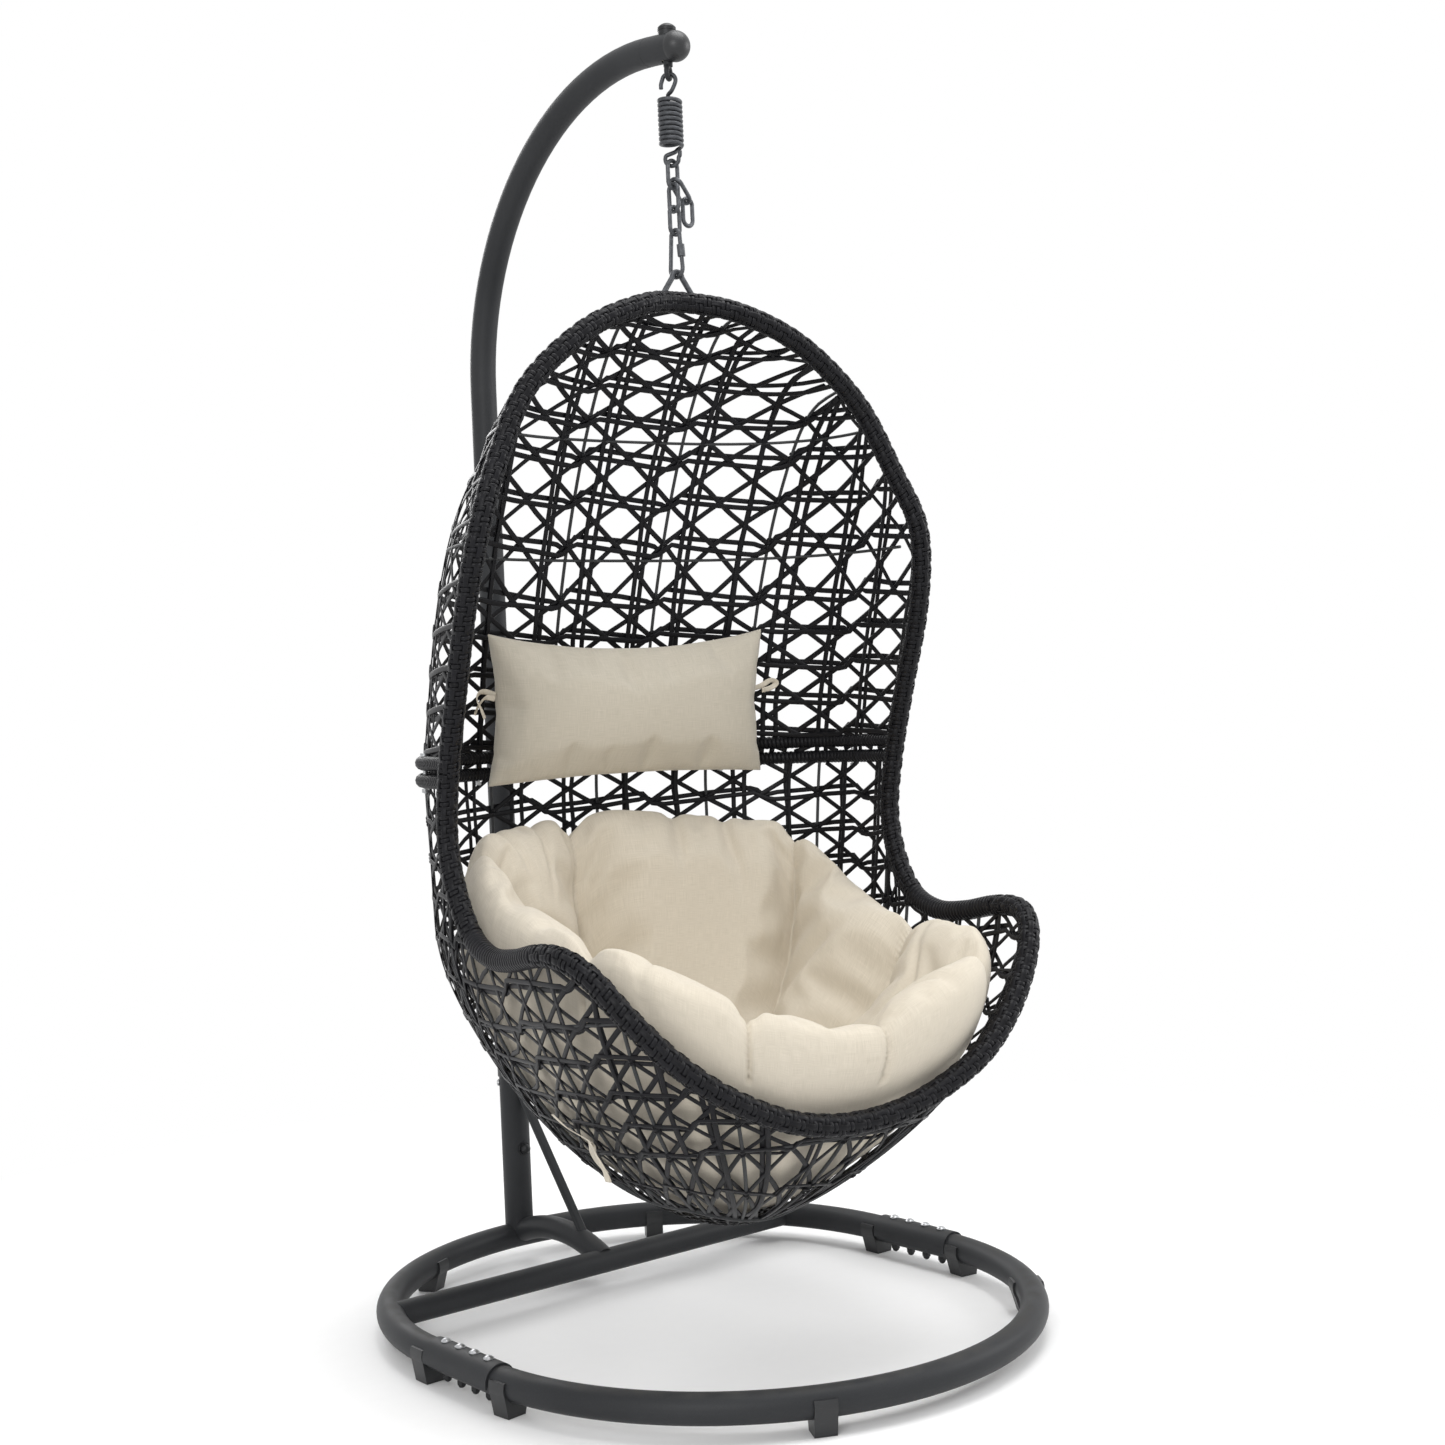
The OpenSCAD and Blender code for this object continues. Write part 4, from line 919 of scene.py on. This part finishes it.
def coil(gather, line, radius, pitch, width, thick=1.7, lift=None, per_turn=12, offset=0.0):
    """A strip wound round a line, lift giving what is added to its radius."""
    line = spaced(line, int(distances(line)[-1] / pitch * per_turn))
    side, other = carried_frame(line)
    angle = 2 * np.pi * (distances(line) + offset) / pitch
    away = np.cos(angle)[:, None] * side + np.sin(angle)[:, None] * other
    from_tube = radius + (lift(angle) if lift else np.zeros(len(line)))
    gather.sweep(line + away * from_tube[:, None], away, flat_cane(width, thick),
        start=hand.uniform(0, MAP_START))


def chequer(count, size):
    """Over one strip and under the next, changing sides each turn."""
    def lift(angle):
        turn_number = np.floor(angle / (2 * np.pi))
        place = angle * count / (2 * np.pi)
        return size * np.cos(np.pi * (place + turn_number * (1 + count)))
    return lift


def long_strips(gather, line, radius, count, pitch, size, width, thick=1.6):
    line = spaced(line, int(6 * distances(line)[-1] / pitch))
    side, other = carried_frame(line)
    far = distances(line)
    for number in range(count):
        angle = 2 * np.pi * number / count
        away = math.cos(angle) * side + math.sin(angle) * other
        swing = -size * np.cos(np.pi * (far / pitch + number))
        gather.sweep(line + away * (radius + swing)[:, None], away, flat_cane(width, thick),
            start=hand.uniform(0, MAP_START))


def part_of(line, start, end):
    """The stretch of a line between two shares of its length."""
    at = distances(line)
    keep = (at >= start * at[-1] - 0.01) & (at <= end * at[-1] + 0.01)
    return line[keep]


# %% The hood's rim
def sleeve(gather, line, pitch=13.6, count=8):
    """Two coils side by side make each turn; the strips along the rim pass over and under."""
    for offset in (0.0, 6.8):
        coil(gather, line, 14.3, pitch, 6.4, 1.5, chequer(count, 1.2), 32, offset)
    long_strips(gather, line, 14.3, count, pitch, 1.2, 8.4)


fine_hood = spaced(hood_line, 600)
wrap = Gather()
sleeve(wrap, fine_hood)
hood_wrap = wrap.piece("hood_rim_cane", finishes["cane"])
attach(hood_wrap, "basket")
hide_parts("hood_wrap")

# %% The seat's rim
BEND_START, BEND_END = 0.12, 0.225
fine_seat = spaced(seat_line, 800)
wrap = Gather()
sleeve(wrap, part_of(fine_seat, 0, BEND_START))
coil(wrap, part_of(fine_seat, BEND_START, BEND_END), 15.0, 7.4, 7.6, 2.0)
sleeve(wrap, part_of(fine_seat, BEND_END, 1 - BEND_END))
coil(wrap, part_of(fine_seat, 1 - BEND_END, 1 - BEND_START), 15.0, 7.4, 7.6, 2.0)
sleeve(wrap, part_of(fine_seat, 1 - BEND_START, 1))
seat_wrap = wrap.piece("seat_rim_cane", finishes["cane"])
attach(seat_wrap, "basket")
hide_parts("seat_wrap")


# %% [markdown]
# ## The two bars of the joint
# Hood and seat meet at two bars that run round the back from rim to rim, one
# above the other, held together by four bolts. Each is wound closely with
# cane, so it looks like a thick cord.

# %% Wound bars
def wound_bar(name, node, up):
    gather = Gather()
    rim = np.array([HALF, 34.0])
    line = spaced(hood_skin(np.full(200, JOINT + up), np.linspace(0, 1, 200), rim), 260)
    gather.sweep(line, carried_frame(line)[0], round_rod(18.4, 12))
    coil(gather, line, 9.8, 7.2, 7.3, 2.0)
    bar = gather.piece(name, finishes["cane"])
    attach(bar, "basket")
    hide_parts(node)


wound_bar("hood_bar_cane", "hood_bar", 13)
wound_bar("seat_bar_cane", "seat_bar", -13)

# %% [markdown]
# ## The coil spring
# The spring is one wire: a hook, ten turns and a lower hook. It stretches
# when the basket sinks. Here it is swept again as a round wire, hanging from
# the top of the solid spring.

# %% Spring
SPRING_WIRE = 6.4
HOOK_TURN = math.radians(-55)


def spring_wire_line(top, turns=10, pitch=7.15, mean_radius=16.0, hook=10.6):
    """Centreline of the wire from hook to hook, in millimetres, and the coil's two heights."""
    coil_top = top - 38
    coil_low = coil_top - turns * pitch
    foot = coil_low - 29

    def arc(middle, start, end):
        return [[hook * math.cos(a), 0, middle + hook * math.sin(a)]
            for a in np.radians(np.linspace(start, end, 8))]

    way = np.arange(1, 8 * turns) * 45
    a = np.radians(90 + way)
    coiled = np.stack([mean_radius * np.cos(a), mean_radius * np.sin(a),
        coil_top - way / 360 * pitch], -1)
    upper = [[-12.6, 0, top - 21.5], [-12.4, 0, top - 15]] + arc(top - hook, 172, -28) + [
        [3.8, 0.6, coil_top + 12.5], [-3.5, 4.5, coil_top + 7.6], [-5.5, 11.6, coil_top + 2.6]]
    lower = [[5.5, 11.6, coil_low - 2.6], [3.5, 4.5, coil_low - 7.6],
        [-3.8, 0.6, coil_low - 11]] + arc(foot + hook, 152, 368) + [
        [12.4, 0, foot + 15], [12.6, 0, foot + 21.5]]
    x, y, z = np.array(upper + coiled.tolist() + lower).T
    return np.stack([*turned(x, y, HOOK_TURN), z], -1), coil_top, coil_low


solid_spring = nodes["spring"]
solid_top = max((solid_spring.matrix_world @ v.co).z for v in solid_spring.data.vertices)
line, coil_top, coil_low = spring_wire_line(solid_top * 1000 - SPRING_WIRE / 2)
line = curve([line[0]] + line.tolist() + [line[-1]], 4)
apart = np.concatenate([[True], np.linalg.norm(np.diff(line, axis=0), axis=1) > 0.05])
line = line[apart]
spring = Gather()
spring.sweep(line, carried_frame(line)[0], round_rod(SPRING_WIRE, 12))
spring = spring.piece("spring_coil", finishes["spring_steel"], place=lambda points: points * 0.001)
coil_top * 0.001
coil_low * 0.001
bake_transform(spring)
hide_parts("spring")


# %% [markdown]
# ## The seat cushion
# The cushion is a round of cloth filled with loose fibre and sewn through in
# eight lines from the middle, so it swells into lobes and folds up the wall
# of the basket. A grid of points is laid over it: columns round it, and rows
# from the middle of the base over the rolled edge to the middle of the top.
# The sewn lines pull the surface in, and a cloth simulation then blows the
# lobes up against them, which gives the puckers along the seams.

# %% Shape of the seat cushion
CREASES = np.array([5, 45, 85, 125, 190, 240, 290, 337], float)
EDGE_ANGLES = [0, 30, 60, 85, 105, 125, 180, 235, 255, 275, 300, 330, 360]
EDGE_HEIGHTS = [440, 505, 548, 545, 610, 708, 748, 728, 678, 600, 575, 505, 440]
# Each fold: its angle, how far out it is, half its length, its depth in mm, its slant.
FOLDS = [
    (18, 0.84, 0.16, 12, 6), (30, 0.70, 0.10, 8, -9), (352, 0.80, 0.15, 12, -6),
    (64, 0.80, 0.13, 13, 10), (104, 0.72, 0.14, 12, -10), (150, 0.93, 0.13, 12, 3),
    (168, 0.95, 0.10, 11, 0), (206, 0.93, 0.13, 12, -4), (222, 0.95, 0.10, 10, 2),
    (262, 0.78, 0.14, 12, 8), (312, 0.86, 0.15, 12, -6), (325, 0.72, 0.10, 9, 8)]


def cushion_edge(angle):
    return np.interp(np.asarray(angle, float) % 360, EDGE_ANGLES, EDGE_HEIGHTS)


def folds(angle, r):
    """How deep the loose folds press in, in millimetres."""
    deep = 0
    for place, at, long, depth, slant in FOLDS:
        off = (angle - place - slant * (r - at) / long + 180) % 360 - 180
        deep = deep + depth * np.exp(-(off / 2.1) ** 2 - ((r - at) / long) ** 2)
    return deep


def crease_distance(angle):
    """How many degrees to the nearest crease."""
    a = np.asarray(angle, float)[..., None] % 360
    marks = np.concatenate([CREASES - 360, CREASES, CREASES + 360])
    return np.abs(a - marks).min(-1)


def cushion_point(angle, t, thick=105.0):
    r = 1 - np.abs(t) ** 1.6
    swell = np.sqrt(share(1 - r ** 5))
    fill = thick / 2 * (0.6 + 0.48 * np.minimum(1, 2.5 * r))
    away = crease_distance(angle)
    dip = 0.62 * np.exp(-(away / 3.2) ** 2) + 0.38 * np.exp(-(away / 11.0) ** 2)
    near_edge = np.clip((r - 0.75) / 0.2, 0, 1)
    lobe = 1.26 - 1.05 * dip * np.clip(1.6 * r, 0, 1) * (1 - 0.35 * near_edge)
    pucker = (3.2 * np.sin(r * 46 + angle * 0.35) * np.exp(-(away / 10.0) ** 2)
        * np.clip(2 * r - 0.3, 0, 1))
    top = fill * (1 + swell * lobe) + swell * (pucker - folds(angle, r))
    depth = np.where(t < 0, fill * (1 - swell), top)
    edge_roll = 1 - 0.035 * np.exp(-(away / 4.0) ** 2) * r ** 4 - 0.0012 * folds(angle, r)
    base = egg(angle, BASE + (cushion_edge(angle) - BASE) * (r * edge_roll) ** 1.5)
    return inward(base, 18 + depth)


def grid_piece(name, points, laid, finish):
    """A closed bag from rings of points in metres, with a flat face at each end."""
    rows, around = points.shape[:2]
    ids = np.arange(rows * around).reshape(rows, around)
    faces, corners = [], []
    for i in range(rows - 1):
        for j in range(around):
            j2 = (j + 1) % around
            faces.append([int(ids[i, j]), int(ids[i, j2]), int(ids[i + 1, j2]), int(ids[i + 1, j])])
            corners += [laid[i, j], laid[i, j + 1], laid[i + 1, j + 1], laid[i + 1, j]]
    for ring, row in ((ids[0][::-1], 0), (ids[-1], rows - 1)):
        faces.append([int(i) for i in ring])
        corners += [laid[row, 0]] * around
    return mesh_piece(name, points.reshape(-1, 3), faces, corners, finish)


AROUND, OVER = 288, 96
angles = np.arange(AROUND) * 360 / AROUND
over_it = np.linspace(-0.985, 0.985, OVER)
grid_angle, grid_t = np.meshgrid(angles, over_it)
cushion_grid = cushion_point(grid_angle, grid_t)


def laid_lengths(grid):
    """A map in metres: along the rows and round the columns of a grid."""
    down = np.cumsum(np.concatenate([[0], np.linalg.norm(np.diff(grid, axis=0), axis=2).mean(1)]))
    wide = np.linalg.norm(np.diff(grid, axis=1), axis=2).sum(1).max()
    across = np.linspace(0, wide, grid.shape[1] + 1)
    u, v = np.meshgrid(across, down)
    return np.stack([u, v], -1) * 0.001


placed_grid = in_basket(cushion_grid.reshape(-1, 3)).reshape(cushion_grid.shape)
seat_cushion = grid_piece("seat_cushion_cover", placed_grid, laid_lengths(cushion_grid),
    finishes["cloth"])


# %% [markdown]
# ## Filling a cushion
# Fibre filling pushes the cover out evenly, and the sewn lines hold it back.
# Blender's cloth does just that: a pressure inside, and a group of points
# that stay where they are. The cover is cut a little larger than its shape,
# so it wrinkles. How far a point may move is capped, and the underside,
# which lies against the basket, stays as it is.

# %% Fill by cloth simulation
def fill(thing, held, pressure, cap, frames=18, loose=0.03):
    """Blows the cover up and writes the result into the mesh. held is 0 to 1 per point."""
    mesh = thing.data
    before = np.zeros(len(mesh.vertices) * 3)
    mesh.vertices.foreach_get("co", before)
    before = before.reshape(-1, 3)
    group = thing.vertex_groups.new(name="held")
    for index, weight in enumerate(held):
        if weight > 0.01:
            group.add([index], float(weight), "REPLACE")
    cloth_sim = thing.modifiers.new("fill", "CLOTH")
    rules = cloth_sim.settings
    rules.quality = 6
    rules.mass = 0.3
    rules.use_pressure = True
    rules.uniform_pressure_force = pressure
    rules.tension_stiffness = 25
    rules.compression_stiffness = 12
    rules.shear_stiffness = 6
    rules.bending_stiffness = 3.0
    rules.shrink_min = -loose
    rules.vertex_group_mass = "held"
    rules.pin_stiffness = 1.0
    rules.effector_weights.gravity = 0
    cloth_sim.collision_settings.use_collision = False
    scene = bpy.context.scene
    for number in range(1, frames + 1):
        scene.frame_set(number)
    shown = thing.evaluated_get(bpy.context.evaluated_depsgraph_get())
    after = np.zeros(len(mesh.vertices) * 3)
    shown.data.vertices.foreach_get("co", after)
    after = after.reshape(-1, 3)
    thing.modifiers.remove(cloth_sim)
    scene.frame_set(1)
    move = after - before
    far = np.linalg.norm(move, axis=1)
    move *= np.minimum(1, cap / np.maximum(far, 1e-9))[:, None]
    mesh.vertices.foreach_set("co", (before + move).ravel())
    mesh.update()
    print(thing.name, "moved up to %.1f mm" % (1000 * np.linalg.norm(move, axis=1).max()))


# %% Fill the seat cushion
away = crease_distance(grid_angle)
r = 1 - np.abs(grid_t) ** 1.6
on_seam = np.exp(-(away / 2.2) ** 2) * (r > 0.12)
hold = np.where(grid_t < -0.2, 1.0, np.where(grid_t < 0.0, 0.7, on_seam))
hold = np.where(r < 0.12, 1.0, hold)
fill(seat_cushion, hold.ravel(), 4.5, 0.026, loose=0.05)


# %% [markdown]
# ## Sewn lines
# The simulated grid is too coarse for a line of stitches, so it is smoothed
# a little and gets a point between every two. A smoothing modifier would do
# that too, but it is very slow on the many-sided faces at the two ends. The
# columns that lie on the sewn lines are then drawn in, which leaves a narrow
# groove where the thread pulls.

# %% A finer grid with sewn grooves
def halfway(grid, around):
    """Puts a smooth point between every two, along the rows or round the columns."""
    axis = 1 if around else 0
    if around:
        ring = [np.roll(grid, shift, axis) for shift in (1, 0, -1, -2)]
    else:
        wide = np.concatenate([grid[:1], grid, grid[-1:], grid[-1:]])
        ring = [wide[k:k + len(grid)] for k in range(4)]
    between = (9 * (ring[1] + ring[2]) - ring[0] - ring[3]) / 16
    shape = list(grid.shape)
    shape[axis] *= 2
    finer = np.stack([grid, between], axis + 1).reshape(shape)
    return finer if around else finer[:-1]


def stitched(grid):
    """Draws the sewn lines in to thin grooves, deeper where the stitches are."""
    rows, around = grid.shape[:2]
    t = np.linspace(-1, 1, rows)
    row = np.arange(rows)
    last_below, first_above = np.searchsorted(t, [-0.27, 0.27])
    flat = np.where(np.abs(t) < 0.27, np.where(t < 0, last_below, first_above), row)
    core = 0.5 * (grid[flat] + grid[rows - 1 - flat])
    toward = core - grid
    toward /= np.maximum(np.linalg.norm(toward, axis=2, keepdims=True), 1e-9)
    r = 1 - np.abs(t) ** 1.6
    stitch = 0.008 + 0.0015 * np.sin(row * 1.7)
    deep = np.where(t > -0.3, np.clip((r - 0.1) / 0.15, 0, 1), 0) * stitch
    for angle in CREASES:
        middle = int(round(angle * around / 360))
        for step, part in ((-1, 0.35), (0, 1.0), (1, 0.35)):
            column = (middle + step) % around
            grid[:, column] += toward[:, column] * (deep * part)[:, None]
    return grid


def refine(thing, rows, finish):
    """Builds a grid piece again with four times the faces, and the filled shape."""
    points = np.zeros(len(thing.data.vertices) * 3)
    thing.data.vertices.foreach_get("co", points)
    grid = points.reshape(rows, -1, 3)
    for _ in range(2):
        sides = np.roll(grid, 1, 1) + np.roll(grid, -1, 1)
        ends = np.concatenate([grid[:1], grid[:-1]]) + np.concatenate([grid[1:], grid[-1:]])
        grid = 0.5 * grid + 0.125 * (sides + ends)
    grid = halfway(halfway(grid, True), False)
    grid = stitched(grid)
    name = thing.name
    old = thing.data
    bpy.data.objects.remove(thing)
    bpy.data.meshes.remove(old)
    return grid_piece(name, grid, laid_lengths(grid * 1000), finish)


seat_cushion = refine(seat_cushion, OVER, finishes["cloth"])
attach(seat_cushion, "basket")
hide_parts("seat_cushion")


# %% [markdown]
# ## The head pillow
# The pillow is two pieces of cloth sewn round the edge and turned. Its
# corners stand out like ears, the edges between them draw in, and the top
# sags in the middle because the filling is slack. It is a grid of two faces
# that share the seam, filled in the same way as the seat cushion.

# %% Shape of the pillow
PILLOW = np.array([14.0, 234, 942])


def pillow_point(u, v, face, width=500.0, height=240.0, thick=95.0):
    x = u * width / 2 * (1 - 0.05 * (1 - v * v))
    z = v * height / 2 * (1 - np.where(v > 0, 0.2, 0.05) * (1 - u * u))
    swell = share((1 - u * u) * (1 - v * v)) ** 0.42
    y = face * swell * thick / 2
    lean = math.radians(5)
    y, z = y * math.cos(lean) - z * math.sin(lean), y * math.sin(lean) + z * math.cos(lean)
    return np.stack([x, y, z], -1) + PILLOW


def pillow_mesh(name, finish, wide=64, tall=32):
    u, v = np.meshgrid(np.linspace(-1, 1, wide + 1), np.linspace(-1, 1, tall + 1))
    points, faces, uv = [], [], []
    number = {}
    for face in (-1, 1):
        grid = pillow_point(u, v, face)
        for i in range(tall + 1):
            for j in range(wide + 1):
                seam = i in (0, tall) or j in (0, wide)
                if seam and (i, j, -1) in number:
                    number[i, j, face] = number[i, j, -1]
                    continue
                number[i, j, face] = len(points)
                points.append(grid[i, j])
        for i in range(tall):
            for j in range(wide):
                ring = [(i, j), (i, j + 1), (i + 1, j + 1), (i + 1, j)]
                if face > 0:
                    ring.reverse()
                faces.append([number[a, b, face] for a, b in ring])
                uv += [(b * 0.5 / wide, a * 0.24 / tall) for a, b in ring]
    thing = mesh_piece(name, in_basket(np.array(points)), faces, uv, finish)
    seam = np.zeros(len(points))
    for (i, j, face), index in number.items():
        if i in (0, tall) or j in (0, wide):
            seam[index] = 0.6
    return thing, seam


# The pillow's cloth is the seat's cloth painted darker: painted shade for its place inside the hood.
finishes["shaded pillow cloth"] = cloth("shaded pillow cloth", (188, 181, 165), (206, 198, 183))
head_pillow, seam = pillow_mesh("head_pillow_cover", finishes["shaded pillow cloth"])
fill(head_pillow, seam, 3.0, 0.012, loose=0.04)
smooth = head_pillow.modifiers.new("smooth", "SUBSURF")
smooth.levels = smooth.render_levels = 1
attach(head_pillow, "basket")
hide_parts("head_pillow")


# %% [markdown]
# ## Ties
# Flat cloth tapes hold both cushions in the basket. Each is a narrow strip
# along a line, folded round the cane: two on the seat cushion, knotted under
# the basket's side, and one loop at each end of the pillow.

# %% Tapes
def tape(name, node, lines, width=11.0):
    gather = Gather()
    for points in lines:
        line = spaced(curve([points[0]] + points + [points[-1]], 8), 40)
        away = line - MIDDLE
        away /= np.linalg.norm(away, axis=1)[:, None]
        gather.sweep(line, away, flat_cane(width, 1.4))
    thing = gather.piece(name, finishes["cloth"])
    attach(thing, "basket")
    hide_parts(node)


left_tie = [[-300, -70, 372], [-282, -78, 352], [-262, -108, 334], [-246, -84, 312],
    [-225, -58, 290], [-207, -45, 272]]
second = [[-262, -108, 334], [-256, -118, 312], [-246, -120, 290], [-240, -116, 276]]
mirrored = [[[-x, y, z] for x, y, z in line] for line in (left_tie, second)]
tape("seat_cushion_tapes", "cushion_ties", [left_tie, second] + mirrored)
left_loop = [[-222, 232, 966], [-242, 238, 972], [-254, 232, 962], [-250, 226, 944], [-244, 228, 930]]
left_end = [[-224, 231, 960], [-240, 230, 962], [-250, 236, 950], [-256, 238, 936]]
right_loop = [[250, 232, 962], [266, 234, 966], [284, 234, 974], [296, 234, 970],
    [284, 232, 962], [264, 230, 958]]
tape("head_pillow_tapes", "pillow_ties", [left_loop, left_end, right_loop], 9.0)


# %% [markdown]
# ## Floor, light and finish
# The chair stands on a plain pale floor that fades into a white room. Soft
# lamps stand all round, so no side is in the dark, and the room itself gives
# an even light. The floor is grey-white near the chair, where its shadow
# falls, and turns into plain white light further out.

# %% Floor
WHITE = (1, 1, 1, 1)


def floor():
    across = 48
    below = -0.0005
    rings = [0.6, 1.2, 2.0, 3.0, 5.0, 8.0]
    way = 2 * math.pi / across
    points = [(0, 0, below)] + [(r * math.cos(way * k), r * math.sin(way * k), below)
        for r in rings for k in range(across)]
    faces = [(0, 1 + k, 1 + (k + 1) % across) for k in range(across)]
    for ring in range(len(rings) - 1):
        a = 1 + ring * across
        faces += [(a + k, a + across + k, a + across + (k + 1) % across, a + (k + 1) % across)
            for k in range(across)]
    mesh = bpy.data.meshes.new("floor")
    mesh.from_pydata(points, [], faces)
    thing = bpy.data.objects.new("floor", mesh)
    bpy.context.scene.collection.objects.link(thing)
    pale = Finish("pale floor")
    far = pale.add("ShaderNodeVectorMath", {"operation": "LENGTH"}, {0: pale.place()}, output=1)
    speck = pale.noise(pale.place(), 40, 3)
    colour = pale.blend(speck, paint(250, 250, 250), paint(253, 253, 253))
    ground = pale.add("ShaderNodeBsdfPrincipled", inputs={"Base Color": colour, "Roughness": 0.7,
        "Specular IOR Level": 0.1})
    glow = pale.add("ShaderNodeEmission", inputs={"Color": WHITE, "Strength": 1.0})
    mixed = pale.add("ShaderNodeMixShader", inputs={0: far.clipped(0.7, 1.9), 1: ground, 2: glow})
    pale.add("ShaderNodeOutputMaterial", inputs={"Surface": mixed})
    mesh.materials.append(pale.material)


floor()


# %% Room light and lamps
def room(strength):
    """An even light that shows as plain white to the camera, in metal and in glass."""
    bpy.context.scene.world = bpy.data.worlds.new("room")
    air = Finish("room", bpy.context.scene.world)
    camera_ray, glossy_ray, through_ray = [air.add("ShaderNodeLightPath", output=name)
        for name in ("Is Camera Ray", "Is Glossy Ray", "Is Transmission Ray")]
    soft, bright = [air.add("ShaderNodeBackground", inputs={"Color": WHITE, "Strength": level})
        for level in (strength, 1.0)]
    seen = camera_ray.most(glossy_ray).most(through_ray)
    mixed = air.add("ShaderNodeMixShader", inputs={0: seen, 1: soft, 2: bright})
    air.add("ShaderNodeOutputWorld", inputs={"Surface": mixed})


def lamp(name, place, aim, size, power):
    data = bpy.data.lights.new(name, "AREA")
    data.shape = "DISK"
    data.size = size
    data.energy = power
    thing = bpy.data.objects.new(name, data)
    thing.location = place
    thing.rotation_euler = (Vector(aim) - Vector(place)).to_track_quat("-Z", "Y").to_euler()
    bpy.context.scene.collection.objects.link(thing)


room(0.74)
lamp("top lamp", (0.4, -0.6, 4.2), (0, 0, 0.6), 2.4, 74)
lamp("left lamp", (-3.2, -2.6, 2.4), (0, 0, 0.8), 1.8, 56)
lamp("right lamp", (3.4, -1.8, 2.2), (0, 0, 0.8), 1.8, 46)
lamp("back lamp", (0.5, 3.4, 2.6), (0, 0, 1.0), 1.8, 38)
bpy.context.scene.view_settings.view_transform = "Standard"
